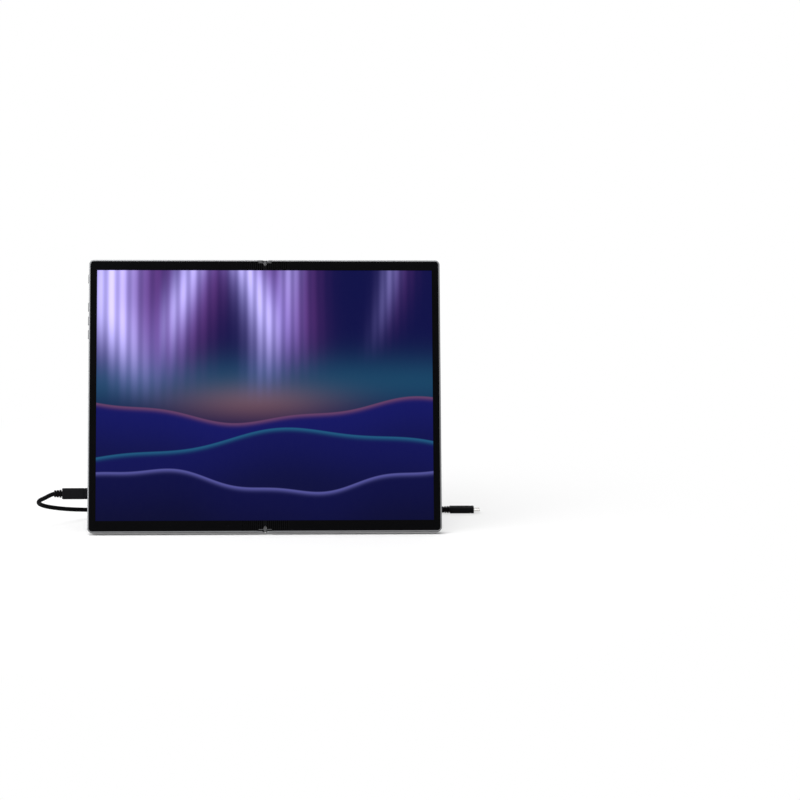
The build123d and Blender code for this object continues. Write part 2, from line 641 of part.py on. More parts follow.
def usb_port(height):
    """A USB-C receptacle: a drawn shell with a closed back and a tongue."""
    mouth = SIDE + PORT_RECESS
    back = mouth + USB_REACH
    shell = rod(port_face(height, USB_LENGTH, USB_BREADTH), mouth, back)
    inside = port_face(height, USB_LENGTH - 2 * USB_SHELL, USB_BREADTH - 2 * USB_SHELL)
    shell -= rod(inside, mouth, back - 2 * USB_SHELL)
    tongue = Pos(PORT_DEPTH, height) * Rectangle(USB_TONGUE_BREADTH, USB_TONGUE_LENGTH)
    return shell + rod(tongue, back - 2 * USB_SHELL - USB_TONGUE_REACH, back - USB_SHELL)


def hdmi_face(edge):
    face = Pos(PORT_DEPTH, HDMI_HEIGHT) * Rectangle(HDMI_BREADTH + 2 * edge, HDMI_LENGTH + 2 * edge)
    return chamfer(face.vertices().sort_by(Axis.X)[-2:], HDMI_CHAMFER)


def hdmi_port():
    """A mini HDMI receptacle."""
    mouth = SIDE + PORT_RECESS
    back = mouth + HDMI_REACH
    shell = rod(hdmi_face(0), mouth, back) - rod(hdmi_face(-USB_SHELL), mouth, back - 2 * USB_SHELL)
    tongue = Pos(PORT_DEPTH, HDMI_HEIGHT) * Rectangle(USB_TONGUE_BREADTH, HDMI_TONGUE_LENGTH)
    return shell + rod(tongue, back - 2 * USB_SHELL - USB_TONGUE_REACH, back - USB_SHELL)


# Boards

def board_screw_places():
    inset = BOSS_RADIUS + SCREW_HEAD_RADIUS
    right = MAIN_BOARD_RIGHT - inset
    middle = (MAIN_BOARD_BOTTOM + MAIN_BOARD_TOP) / 2
    return [(right, MAIN_BOARD_BOTTOM + inset), (right, middle), (right, MAIN_BOARD_TOP - inset)]


def main_board():
    """The board that carries the ports, with its controller chips and screw holes."""
    back = BOARD_FRONT + BOARD_THICKNESS
    sheet = block(MAIN_BOARD_LEFT, MAIN_BOARD_RIGHT, BOARD_FRONT, back - FIT,
                  MAIN_BOARD_BOTTOM, MAIN_BOARD_TOP)
    chip_left = (MAIN_BOARD_LEFT + MAIN_BOARD_RIGHT) / 2 - CHIP_SIZE
    for low in (MAIN_BOARD_TOP - 4 * CHIP_SIZE, MAIN_BOARD_BOTTOM + CHIP_SIZE):
        sheet += block(chip_left, chip_left + CHIP_SIZE, BOARD_FRONT - CHIP_THICKNESS, BOARD_FRONT,
                       low, low + CHIP_SIZE)
    for x, z in board_screw_places():
        sheet -= stud(x, z, SCREW_RADIUS + FIT, BOARD_FRONT, back)
    return sheet


def board_screws():
    screws = []
    for x, z in board_screw_places():
        screw = stud(x, z, SCREW_HEAD_RADIUS, BOARD_FRONT - SCREW_HEAD, BOARD_FRONT - FIT)
        screws.append(screw + stud(x, z, SCREW_RADIUS, BOARD_FRONT - SCREW_HEAD, REAR_INSIDE - FIT))
    return Compound(screws)


def driver_board_back():
    return THICKNESS - POCKET_DEPTH - POCKET_FLOOR - FIT


def driver_board():
    """The screen's driver board, on the back of the kickstand pocket's floor."""
    back = driver_board_back()
    right = DRIVER_BOARD_LEFT + DRIVER_BOARD_WIDTH
    top = DRIVER_BOARD_BOTTOM + DRIVER_BOARD_HEIGHT
    sheet = block(DRIVER_BOARD_LEFT, right, back - BOARD_THICKNESS, back, DRIVER_BOARD_BOTTOM, top)
    front = back - BOARD_THICKNESS
    chip = block(right - 2 * CHIP_SIZE, right - CHIP_SIZE, front - CHIP_THICKNESS, front,
                 top - CHIP_SIZE, top)
    return sheet + chip


def ribbon_sides():
    middle = DRIVER_BOARD_LEFT + DRIVER_BOARD_WIDTH / 2
    return middle - RIBBON_WIDTH / 2, middle + RIBBON_WIDTH / 2


def screen_ribbon():
    """The ribbon from the screen's lower edge, through the support plate, onto the driver board."""
    top = BOTTOM_BORDER - DISPLAY_MARGIN - FIT
    low = top - RIBBON_DROP
    front = DISPLAY_FRONT + FIT
    back = driver_board_back() - BOARD_THICKNESS - FIT
    left, right = ribbon_sides()
    ribbon = block(left, right, front, front + RIBBON_THICKNESS, low, top)
    ribbon += block(left, right, front, back, low, low + RIBBON_THICKNESS)
    return ribbon + block(left, right, back - RIBBON_THICKNESS, back, low, low + RIBBON_LAP)


# Cable: plugs are drawn with the mouth at X = 0 facing +X and the breadth along Z

def plug_grip():
    """The overmoulded grip, with a collar line behind the mouth."""
    face = RectangleRounded(PLUG_DEPTH, PLUG_BREADTH, PLUG_ROUND)
    grip = rod(face, -PLUG_LENGTH, 0)
    grip = fillet(grip.faces().sort_by(Axis.X)[0].edges(), PLUG_END_ROUND)
    depth = PLUG_DEPTH - 2 * PLUG_GROOVE
    ring = face - RectangleRounded(depth, PLUG_BREADTH - 2 * PLUG_GROOVE, PLUG_ROUND - PLUG_GROOVE)
    return grip - rod(ring, -PLUG_COLLAR - 2 * PLUG_GROOVE, -PLUG_COLLAR)


def plug_tip():
    outer = RectangleRounded(PLUG_TIP_BREADTH, PLUG_TIP_LENGTH, ROUND_END_RATIO * PLUG_TIP_BREADTH)
    inner_breadth = PLUG_TIP_BREADTH - 2 * PLUG_TIP_WALL
    inner_length = PLUG_TIP_LENGTH - 2 * PLUG_TIP_WALL
    inner = RectangleRounded(inner_breadth, inner_length, ROUND_END_RATIO * inner_breadth)
    return rod(outer - inner, 0, PLUG_TIP_REACH)


def plug_boot():
    """The strain relief: a core with shrinking blocks and gaps between them."""
    start = -PLUG_LENGTH
    boot = rod(Circle(BOOT_CORE_RADIUS), start - BOOT_LENGTH, start)
    for step in range(BOOT_SEGMENTS):
        right = start - BOOT_GROOVE - step * (BOOT_SEGMENT + BOOT_GROOVE)
        breadth = BOOT_BREADTH - step * BOOT_STEP
        depth = BOOT_DEPTH - step * BOOT_STEP / 2
        boot += rod(RectangleRounded(depth, breadth, BOOT_STEP * 3), right - BOOT_SEGMENT, right)
    return boot


def seated_plug(part):
    return Pos(PLUG_BACK, PORT_DEPTH, USB_PORT_HEIGHTS["usb_c_port_lower"]) * part


lower_cap = spine_cap(LOWER_POST_HEIGHT)
upper_cap = other_end(spine_cap(UPPER_POST_HEIGHT))
arm = hinge_arm()
bottom_edge = WALL + FIT
nodes = {
    "left_rear_cover": left_rear_cover(),
    "right_rear_cover": other_side(rear_cover()),
    "left_bezel": bezel(),
    "right_bezel": other_side(bezel()),
    "lower_flex_bezel": flex_bezel(bottom_edge, BOTTOM_BORDER, LOWER_POST_HEIGHT + GAP),
    "upper_flex_bezel": other_end(flex_bezel(bottom_edge, TOP_BORDER, UPPER_POST_HEIGHT + GAP)),
    "display_left": display(SIDE + SIDE_BORDER - DISPLAY_MARGIN, -BEND_HALF_WIDTH),
    "display_fold": display(-BEND_HALF_WIDTH, BEND_HALF_WIDTH),
    "display_right": display(BEND_HALF_WIDTH, -SIDE - SIDE_BORDER + DISPLAY_MARGIN),
    "left_support_plate": left_support_plate(),
    "right_support_plate": other_side(support_plate()),
    "left_plate_screws": plate_screws(),
    "right_plate_screws": other_side(plate_screws()),
    "left_wing_plate": wing_plate(),
    "right_wing_plate": other_side(wing_plate()),
    "spine_channel": spine_channel(),
    "lower_spine_cap": lower_cap,
    "upper_spine_cap": upper_cap,
    "lower_hinge_block": hinge_block(),
    "upper_hinge_block": other_end(hinge_block()),
    "lower_left_hinge_arm": arm,
    "upper_left_hinge_arm": other_end(arm),
    "lower_right_hinge_arm": other_side(arm),
    "upper_right_hinge_arm": other_side(other_end(arm)),
    "left_friction_washers": friction_washers(),
    "right_friction_washers": other_side(friction_washers()),
    "kickstand_flap": kickstand_flap(),
    "kickstand_foot": kickstand_foot(),
    "kickstand_pins": kickstand_pins(),
    "kickstand_brackets": kickstand_brackets(),
    "button_switches": button_switches(),
    "button_board": button_board(),
    "mini_hdmi_port": hdmi_port(),
    "main_board": main_board(),
    "board_screws": board_screws(),
    "driver_board": driver_board(),
    "screen_ribbon": screen_ribbon(),
}
half_pitch = 180 / GEAR_TEETH
for end, turn in (("lower", lambda part: part), ("upper", other_end)):
    nodes[end + "_left_pinion"] = turn(pinion(-3 * GEAR_RADIUS, 0))
    nodes[end + "_left_idler"] = turn(idler(-GEAR_RADIUS, half_pitch))
    nodes[end + "_right_idler"] = turn(idler(GEAR_RADIUS, 0))
    nodes[end + "_right_pinion"] = turn(pinion(3 * GEAR_RADIUS, half_pitch))
for name, drop in BUTTON_DROPS.items():
    nodes[name] = button(drop)
for name, height in USB_PORT_HEIGHTS.items():
    nodes[name] = usb_port(height)

# Lean the monitor back and set the middle of its own box, without the cable, on the table
tilt = Rot(-LEAN, 0, 0)
box = Compound([tilt * part for part in nodes.values()]).bounding_box()
stand = Pos(-(box.min.X + box.max.X) / 2, -(box.min.Y + box.max.Y) / 2, -box.min.Z) * tilt
nodes.update({"cable_plug": seated_plug(plug_grip()), "cable_plug_tip": seated_plug(plug_tip()),
              "cable_boot": seated_plug(plug_boot())})
for name, part in nodes.items():
    nodes[name] = stand * part

# The cord leaves the boot, bends down to the table behind the left edge, passes behind the kickstand's
# foot and ends beside the right edge. Its ends run straight out of the boots.
FIRST_RUN = 4.5
LAST_RUN = 7.0
FAR_PLUG_REACH = 39.8
FAR_PLUG_BEHIND = 3.5
LANDING_BEHIND = 13.8
# Across from the boot's end, the share of the way back to the landing, and the share of the height left
DESCENT = [
    (-9.9, 0.013, 0.964),
    (-15.0, 0.048, 0.874),
    (-17.4, 0.101, 0.746),
    (-16.6, 0.16, 0.615),
    (-12.6, 0.238, 0.499),
    (-5.1, 0.312, 0.437),
    (4.4, 0.389, 0.377),
    (15.6, 0.486, 0.297),
    (30.4, 0.612, 0.207),
    (47.6, 0.764, 0.105),
    (67.0, 0.932, 0.028),
]
# The share of the half's width from the fold, and how far behind the foot's sole
ALONG_TABLE = [
    (-0.7, LANDING_BEHIND),
    (-0.478, 16.6),
    (-0.217, 17.0),
    (0.076, 14.9),
    (0.34, 11.8),
    (0.58, 8.2),
    (0.755, 5.4),
]
# The same on the way up to the far boot, with the share of its height
RISE = [
    (0.876, 4.1, 0.2),
    (0.943, 3.6, 0.75),
]
rest = CORD_DIAMETER / 2
sole_y = (stand * Pos(0, foot_y, foot_z)).position.Y
boot_end = tuple((stand * seated_plug(Pos(-PLUG_LENGTH - BOOT_LENGTH, 0, 0))).position)
far_mouth = (WIDTH / 2 + FAR_PLUG_REACH, sole_y + FAR_PLUG_BEHIND, PLUG_DEPTH / 2)
far_end = Pos(*far_mouth) * Rot(90, 0, 0)
far_boot_end = (far_mouth[0] - PLUG_LENGTH - BOOT_LENGTH, far_mouth[1], far_mouth[2])
way_back = sole_y + LANDING_BEHIND - boot_end[1]
CORD_POINTS = [boot_end, (boot_end[0] - FIRST_RUN, boot_end[1], boot_end[2])]
for across, gone, left in DESCENT:
    height = rest + left * (boot_end[2] - rest)
    CORD_POINTS.append((boot_end[0] + across, boot_end[1] + gone * way_back, height))
for share, behind in ALONG_TABLE:
    CORD_POINTS.append((share * WIDTH / 2, sole_y + behind, rest))
for share, behind, risen in RISE:
    CORD_POINTS.append((share * WIDTH / 2, sole_y + behind, rest + risen * (far_mouth[2] - rest)))
CORD_POINTS += [(far_boot_end[0] - LAST_RUN, far_boot_end[1], far_boot_end[2]), far_boot_end]


def cord_radii(points):
    """The bend radius at each inner point: as large as the two runs beside it allow."""
    radii = []
    for before, here, after in zip(points, points[1:], points[2:]):
        arrive = Vector(*here) - Vector(*before)
        leave = Vector(*after) - Vector(*here)
        turn = arrive.get_angle(leave)
        radii.append(0.45 * min(arrive.length, leave.length) / math.tan(math.radians(turn) / 2))
    return radii


def cord_tube(points):
    radii = cord_radii(points)
    path = FilletPolyline(*points, radius=radii)
    section = Plane(points[0], z_dir=Vector(*points[1]) - Vector(*points[0])) * Circle(CORD_DIAMETER / 2)
    tube = sweep(section, path=path)
    runs = [(Vector(*b) - Vector(*a)).length for a, b in zip(points, points[1:])]
    print("cord runs", [round(run, 1) for run in runs])
    print("cord radii", [round(radius, 1) for radius in radii])
    volume = path.length * math.pi * (CORD_DIAMETER / 2) ** 2
    print("cord length", round(path.length, 1), "volume share", round(tube.volume / volume, 4))
    return tube


nodes["cable_cord"] = cord_tube(CORD_POINTS)
nodes["far_boot"] = far_end * plug_boot()
nodes["far_plug"] = far_end * plug_grip()
nodes["far_plug_tip"] = far_end * plug_tip()

for name, part in nodes.items():
    export_step(part, f"parts/{name}.step")

print("lean", round(LEAN, 3), "sole angle", round(SOLE_ANGLE, 3), "height", HEIGHT, "width", WIDTH)
for label, spot in {
    "left fold axis": (-FOLD_AXIS_X, FOLD_AXIS_DEPTH, HEIGHT / 2),
    "right fold axis": (FOLD_AXIS_X, FOLD_AXIS_DEPTH, HEIGHT / 2),
    "left idler axis": (-GEAR_RADIUS, FOLD_AXIS_DEPTH, HEIGHT / 2),
    "right idler axis": (GEAR_RADIUS, FOLD_AXIS_DEPTH, HEIGHT / 2),
    "left wing axis": (WING_PIVOT_X, WING_PIVOT_Y, HEIGHT / 2),
    "kickstand axis": (KICKSTAND_LEFT + KICKSTAND_WIDTH / 2, KICKSTAND_AXIS_Y, KICKSTAND_AXIS_HEIGHT),
    "foot sole": (KICKSTAND_LEFT + KICKSTAND_WIDTH / 2, foot_y, foot_z),
    "upper usb port": (SIDE, PORT_DEPTH, USB_PORT_HEIGHTS["usb_c_port_upper"]),
    "hdmi port": (SIDE, PORT_DEPTH, HDMI_HEIGHT),
    "screen centre": (0, DISPLAY_FRONT, BOTTOM_BORDER + ACTIVE_HEIGHT / 2),
}.items():
    print(label, [round(value, 4) for value in tuple((stand * Pos(*spot)).position)])
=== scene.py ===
import json
import math

import bpy
from bpy.props import FloatProperty, FloatVectorProperty, IntProperty, PointerProperty
from mathutils import Matrix, Vector


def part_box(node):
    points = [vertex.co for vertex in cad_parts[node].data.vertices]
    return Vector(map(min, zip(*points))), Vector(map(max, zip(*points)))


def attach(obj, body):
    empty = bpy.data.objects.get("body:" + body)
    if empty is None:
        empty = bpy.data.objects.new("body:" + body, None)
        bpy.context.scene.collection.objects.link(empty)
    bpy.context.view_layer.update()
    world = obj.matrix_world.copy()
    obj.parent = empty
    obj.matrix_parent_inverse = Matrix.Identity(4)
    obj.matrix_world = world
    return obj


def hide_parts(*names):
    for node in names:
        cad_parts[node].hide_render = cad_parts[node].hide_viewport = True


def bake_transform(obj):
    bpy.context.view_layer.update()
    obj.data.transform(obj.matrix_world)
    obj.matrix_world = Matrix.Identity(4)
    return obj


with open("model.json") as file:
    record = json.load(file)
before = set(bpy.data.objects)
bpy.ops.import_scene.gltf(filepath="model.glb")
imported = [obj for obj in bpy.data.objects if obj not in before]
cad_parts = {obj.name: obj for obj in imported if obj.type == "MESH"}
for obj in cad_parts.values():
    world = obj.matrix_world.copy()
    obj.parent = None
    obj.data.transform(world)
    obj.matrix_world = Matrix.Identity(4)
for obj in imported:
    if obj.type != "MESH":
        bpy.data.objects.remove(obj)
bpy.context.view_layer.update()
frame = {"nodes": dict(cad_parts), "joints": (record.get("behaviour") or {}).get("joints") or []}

bl_info = {
    "name": "Folding monitor looks",
    "version": (1, 0, 0),
    "blender": (4, 5, 0),
    "location": "3D View > Sidebar > Monitor",
    "description": "Dresses the packed frame of a folding monitor: screen, strips, cable and finishes",
    "category": "Object",
}

JOINTS = {joint["name"]: joint for joint in frame["joints"]}

# The panel's own frame: X across, Y back into the casing, Z up the screen, from the middle of the fold
ACROSS = Vector((1, 0, 0))
UPWARD = -Vector(JOINTS["spine_fold"]["axis"])
INWARD = UPWARD.cross(ACROSS)
FOLD_MIDDLE = (Vector(JOINTS["spine_fold"]["pos_m"]) + Vector(JOINTS["right_fold"]["pos_m"])) / 2
FROM_PANEL = Matrix.Translation(FOLD_MIDDLE) @ Matrix((ACROSS, INWARD, UPWARD)).transposed().to_4x4()
TO_PANEL = FROM_PANEL.inverted()

# The halves of the part: the sign of their X, their word in names and their body
HALVES = ((-1, "left", "left_half"), (1, "right", "right_half"))

# The cord's route in metres: the first points are listed to follow its hang, the rest follow the part's
# source
CORD_ROUTE = [
    (-0.2182, -0.0348, 0.03997),
    (-0.2222, -0.0350, 0.0388),
    (-0.2278, -0.0358, 0.0357),
    (-0.2331, -0.0333, 0.0329),
    (-0.2356, -0.0287, 0.0292),
    (-0.2346, -0.0233, 0.0255),
    (-0.2305, -0.0168, 0.0218),
    (-0.2232, -0.0113, 0.0187),
    (-0.2138, -0.0056, 0.0158),
    (-0.2026, 0.0017, 0.0129),
    (-0.1879, 0.0112, 0.0098),
    (-0.1707, 0.0227, 0.0062),
    (-0.1512, 0.0354, 0.00331),
    (-0.1290, 0.0405, 0.00225),
    (-0.0881, 0.0433, 0.00225),
    (-0.0400, 0.0437, 0.00225),
    (0.0140, 0.0416, 0.00225),
    (0.0626, 0.0385, 0.00225),
    (0.1069, 0.0349, 0.00225),
    (0.1391, 0.0321, 0.00225),
    (0.1614, 0.0308, 0.00248),
    (0.1737, 0.0303, 0.00311),
    (0.1830, 0.0302, 0.00340),
    (0.1900, 0.0302, 0.00340),
]

# Colour sockets of the mix node, which has a set of sockets for each kind of value
MIX_FIRST = 6
MIX_SECOND = 7
MIX_RESULT = 2

# Grains across one cloudy patch of a finish, and how far a patch can change the roughness
GRAINS_IN_CLOUD = 40
CLOUD_ROUGHNESS = 0.14

# How far the camera sees, in metres
SIGHT = 50.0


def panel_box(*nodes):
    """Lowest and highest corner of CAD nodes in the panel's own frame."""
    spots = [TO_PANEL @ vertex.co for node in nodes for vertex in frame["nodes"][node].data.vertices]
    low = Vector([min(spot[axis] for spot in spots) for axis in range(3)])
    high = Vector([max(spot[axis] for spot in spots) for axis in range(3)])
    return low, high


def new_piece(name, spots, faces, finishes, pictured=None, kinds=None):
    """A mesh object from spots in the panel's frame.

    pictured gives a spot's place on the picture, and kinds the number of each face's finish.
    """
    mesh = bpy.data.meshes.new(name)
    mesh.from_pydata([FROM_PANEL @ Vector(spot) for spot in spots], [], faces)
    if kinds:
        mesh.polygons.foreach_set("material_index", kinds)
    if pictured:
        layer = mesh.uv_layers.new(name="screen")
        for loop in mesh.loops:
            layer.data[loop.index].uv = pictured(spots[loop.vertex_index])
    for finish in finishes:
        mesh.materials.append(finish)
    piece = bpy.data.objects.new(name, mesh)
    bpy.context.scene.collection.objects.link(piece)
    return piece


def turned(faces):
    """The same faces, looking the other way."""
    return [tuple(reversed(face)) for face in faces]


def dress(finish, *nodes):
    """Give CAD nodes a finish."""
    for node in nodes:
        mesh = frame["nodes"][node].data
        mesh.materials.clear()
        mesh.materials.append(finish)


class NodeTree:
    """Short calls for the nodes of a finish or of the room."""

    def __init__(self, tree):
        self.nodes = tree.nodes
        self.links = tree.links

    def put(self, socket, value):
        """Set a socket to a number or a colour, or link it to another socket."""
        if isinstance(value, bpy.types.NodeSocket):
            self.links.new(value, socket)
        else:
            socket.default_value = value

    def calc(self, operation, *values, clamp=False):
        """A sum of one or two values."""
        node = self.nodes.new("ShaderNodeMath")
        node.operation = operation
        node.use_clamp = clamp
        for socket, value in zip(node.inputs, values):
            self.put(socket, value)
        return node.outputs[0]

    def product(self, first, second):
        return self.calc("MULTIPLY", first, second)

    def mix(self, share, first, second, way="MIX"):
        """The first colour with a share of the second."""
        node = self.nodes.new("ShaderNodeMix")
        node.data_type = "RGBA"
        node.blend_type = way
        self.put(node.inputs["Factor"], share)
        self.put(node.inputs[MIX_FIRST], first)
        self.put(node.inputs[MIX_SECOND], second)
        return node.outputs[MIX_RESULT]

    def between(self, value, low, high, start=0.0, end=1.0, way="SMOOTHSTEP"):
        """Goes from start to end as the value goes from low to high."""
        node = self.nodes.new("ShaderNodeMapRange")
        node.interpolation_type = way
        self.put(node.inputs["Value"], value)
        self.put(node.inputs["From Min"], low)
        self.put(node.inputs["From Max"], high)
        self.put(node.inputs["To Min"], start)
        self.put(node.inputs["To Max"], end)
        return node.outputs[0]

    def split(self, spot):
        """The X, Y and Z of a spot."""
        node = self.nodes.new("ShaderNodeSeparateXYZ")
        self.links.new(spot, node.inputs[0])
        return node.outputs

    def shown(self):
        """1 for rays from the camera, also by way of metal or glass, and 0 for rays that carry light."""
        rays = self.nodes.new("ShaderNodeLightPath").outputs
        mirrored = self.calc("ADD", rays["Is Glossy Ray"], rays["Is Transmission Ray"])
        return self.calc("ADD", rays["Is Camera Ray"], mirrored, clamp=True)


class Shading(NodeTree):
    """The nodes of one finish."""

    def __init__(self, name):
        self.material = bpy.data.materials.new(name)
        self.material.use_nodes = True
        super().__init__(self.material.node_tree)
        self.shader = self.nodes["Principled BSDF"]

    def feed(self, socket, value):
        """Set or link a socket of the finish's shader."""
        self.put(self.shader.inputs[socket], value)

    def place(self, stretch=(1, 1, 1)):
        """Spots on the piece in metres, times a stretch along each axis."""
        spot = self.nodes.new("ShaderNodeTexCoord").outputs["Object"]
        node = self.nodes.new("ShaderNodeMapping")
        node.inputs["Scale"].default_value = stretch
        self.links.new(spot, node.inputs["Vector"])
        return node.outputs[0]

    def noise(self, spot, scale, detail=3.0, roughness=0.55):
        """An uneven value from 0 to 1, with about scale changes in a metre."""
        node = self.nodes.new("ShaderNodeTexNoise")
        node.inputs["Scale"].default_value = scale
        node.inputs["Detail"].default_value = detail
        node.inputs["Roughness"].default_value = roughness
        self.links.new(spot, node.inputs["Vector"])
        return node.outputs["Fac"]

    def bump(self, height, distance):
        """Raise the finish by up to a distance in metres."""
        node = self.nodes.new("ShaderNodeBump")
        node.inputs["Distance"].default_value = distance
        node.inputs["Strength"].default_value = 1.0
        self.links.new(height, node.inputs["Height"])
        self.links.new(node.outputs[0], self.shader.inputs["Normal"])


def opaque(colour):
    """A colour in the form that a socket takes."""
    return (*colour, 1.0)


def shade(colour, share):
    """A darker or lighter tone of a colour."""
    return opaque([share * part for part in colour])


def grained(name, colour, *, metallic, roughness, grain, depth, spread=0.12, stretch=(1, 1, 1), gloss=0.5,
            broad=0.35):
    """A finish with an even grain: bead-blasted metal, spark-eroded plastic, rubber or brushed sheet.

    grain counts the grains in a metre, depth is their height, spread is how far they change the colour, and
    broad is the share of that change that comes in cloudy patches.
    """
    look = Shading(name)
    fine = look.noise(look.place(stretch), grain)
    cloud = look.noise(look.place(), grain / GRAINS_IN_CLOUD, detail=2.0)
    tone = look.calc("ADD", look.product(fine, 1 - broad), look.product(cloud, broad))
    uneven = CLOUD_ROUGHNESS * broad
    look.feed("Base Color", look.mix(tone, shade(colour, 1 - spread), shade(colour, 1 + spread)))
    look.feed("Roughness", look.between(cloud, low=0.25, high=0.75, start=roughness - uneven,
                                        end=roughness + uneven))
    look.feed("Metallic", metallic)
    look.feed("Specular IOR Level", gloss)
    look.bump(fine, depth)
    return look.material


class CameraSettings(bpy.types.PropertyGroup):
    """Where the camera stands and how it looks at the part"""
    place: FloatVectorProperty(
        name="Place", description="Where the camera stands", default=(0.00928, -2.55687, 0.72418),
        subtype="TRANSLATION", unit="LENGTH")
    heading: FloatProperty(
        name="Heading", description="Turn to the right of straight ahead", default=math.radians(2.972),
        subtype="ANGLE", unit="ROTATION")
    dip: FloatProperty(
        name="Dip", description="Angle down from level", default=math.radians(13.036),
        subtype="ANGLE", unit="ROTATION")
    roll: FloatProperty(
        name="Roll", description="Tilt of the frame", default=math.radians(0.598),
        subtype="ANGLE", unit="ROTATION")
    lens: FloatProperty(
        name="Lens", description="Focal length, in millimetres", default=112.5, unit="CAMERA")
    frame_width: FloatProperty(
        name="Frame width", description="Width of the camera's frame, in millimetres", default=36.0,
        unit="CAMERA")


class CableSettings(bpy.types.PropertyGroup):
    """The cord, its plugs and its boots"""
    thickness: FloatProperty(
        name="Thickness", description="Diameter of the cord", default=0.0045,
        subtype="DISTANCE", unit="LENGTH")
    round_steps: IntProperty(name="Round steps", description="How finely the cord is rounded", default=6)
    length_steps: IntProperty(
        name="Length steps", description="Mesh rings between two points of the route", default=10)
    jacket: FloatVectorProperty(
        name="Jacket", description="Colour of the cord and its boots", default=(0.004, 0.004, 0.0045),
        subtype="COLOR")
    grip: FloatVectorProperty(
        name="Grip", description="Colour of the plugs' grips", default=(0.008, 0.008, 0.009),
        subtype="COLOR")
    contact: FloatVectorProperty(
        name="Contact", description="Colour of plated plug tips", default=(0.62, 0.61, 0.59),
        subtype="COLOR")


class ScreenSettings(bpy.types.PropertyGroup):
    """The folding screen and its lit picture"""
    margin: FloatProperty(
        name="Margin", description="How far the panel runs under the bezel", default=0.003,
        subtype="DISTANCE", unit="LENGTH")
    flat_columns: IntProperty(name="Flat columns", description="Mesh columns beside the bend", default=12)
    bend_columns: IntProperty(name="Bend columns", description="Mesh columns in half of the bend", default=28)
    rows: IntProperty(name="Rows", description="Mesh rows up the screen", default=8)
    turn: FloatProperty(
        name="Turn", description="Where the screen and strips start to turn, as a share of the bend",
        default=0.82, subtype="FACTOR")
    unlit_edge: FloatProperty(
        name="Unlit edge", description="Share of the picture in which it ends under the bezel",
        default=0.002, subtype="FACTOR")
    brightness: FloatProperty(name="Brightness", description="Strength of the lit picture", default=1.0)
    night: FloatVectorProperty(
        name="Night", description="Colour of the picture's foot", default=(0.0030, 0.0042, 0.058),
        subtype="COLOR")
    dusk: FloatVectorProperty(
        name="Dusk", description="Colour of the picture's top", default=(0.0028, 0.0035, 0.062),
        subtype="COLOR")
    lilac: FloatVectorProperty(
        name="Lilac", description="Colour of the bright curtains", default=(0.30, 0.30, 0.95),
        subtype="COLOR")
    pink: FloatVectorProperty(
        name="Pink", description="Colour beside the curtains", default=(0.55, 0.14, 0.72),
        subtype="COLOR")
    glare: FloatVectorProperty(
        name="Glare", description="Colour of the curtains' brightest cores", default=(0.9, 0.85, 1.0),
        subtype="COLOR")
    ember: FloatVectorProperty(
        name="Ember", description="Warm glow over the hills", default=(0.42, 0.15, 0.06),
        subtype="COLOR")
    teal: FloatVectorProperty(
        name="Teal", description="Cool edge of the hills", default=(0.03, 0.32, 0.42),
        subtype="COLOR")


class StripSettings(bpy.types.PropertyGroup):
    """The ribbed strips across the fold"""
    pitch: FloatProperty(
        name="Rib pitch", description="Distance between the strip's grooves", default=0.0021,
        subtype="DISTANCE", unit="LENGTH")
    steps: IntProperty(name="Steps", description="Mesh columns in one rib", default=8)
    depth: FloatProperty(
        name="Depth", description="Depth of a groove", default=0.00025,
        subtype="DISTANCE", unit="LENGTH")
    notch: FloatProperty(
        name="Notch", description="Half the width of the notch for the spine's post", default=0.0015,
        subtype="DISTANCE", unit="LENGTH")
    clearance: FloatProperty(
        name="Clearance", description="Gap past the post's tip", default=0.0003,
        subtype="DISTANCE", unit="LENGTH")
    crown: FloatVectorProperty(
        name="Crown", description="Colour of the ribs' crowns", default=(0.0035, 0.0035, 0.004),
        subtype="COLOR")
    # Painted shade: the grooves' colour is a darker copy of the crowns' colour, standing in for the shade in
    # the grooves
    groove: FloatVectorProperty(
        name="Groove", description="Colour of the grooves", default=(0.0006, 0.0006, 0.0007),
        subtype="COLOR")
    bead: FloatVectorProperty(
        name="Bead", description="Colour of the metal beads by the posts", default=(0.1, 0.101, 0.105),
        subtype="COLOR")
    bead_end: FloatProperty(
        name="Bead end", description="Where a bead ends, from the fold", default=0.0068,
        subtype="DISTANCE", unit="LENGTH")
    bead_height: FloatProperty(
        name="Bead height", description="Middle of a bead, from the strip's outer edge", default=0.0014,
        subtype="DISTANCE", unit="LENGTH")
    bead_half: FloatProperty(
        name="Bead half", description="Half the width of a bead", default=0.0003,
        subtype="DISTANCE", unit="LENGTH")
    bead_proud: FloatProperty(
        name="Bead proud", description="How far a bead stands out of the strip", default=0.00012,
        subtype="DISTANCE", unit="LENGTH")
    bead_root: FloatProperty(
        name="Bead root", description="How deep a bead is set into the strip", default=0.0002,
        subtype="DISTANCE", unit="LENGTH")


class CasingSettings(bpy.types.PropertyGroup):
    """The casing halves, bezels, buttons and kickstand"""
    metal: FloatVectorProperty(
        name="Metal", description="Colour of the casing", default=(0.20, 0.203, 0.21),
        subtype="COLOR")
    bezel: FloatVectorProperty(
        name="Bezel", description="Colour of the bezels", default=(0.002, 0.002, 0.0024),
        subtype="COLOR")
    button: FloatVectorProperty(
        name="Button", description="Colour of the buttons", default=(0.15, 0.152, 0.157),
        subtype="COLOR")
    post: FloatVectorProperty(
        name="Post", description="Colour of the posts on the hinge spine", default=(0.1, 0.101, 0.105),
        subtype="COLOR")
    rubber: FloatVectorProperty(
        name="Rubber", description="Colour of the kickstand's foot", default=(0.02, 0.02, 0.021),
        subtype="COLOR")


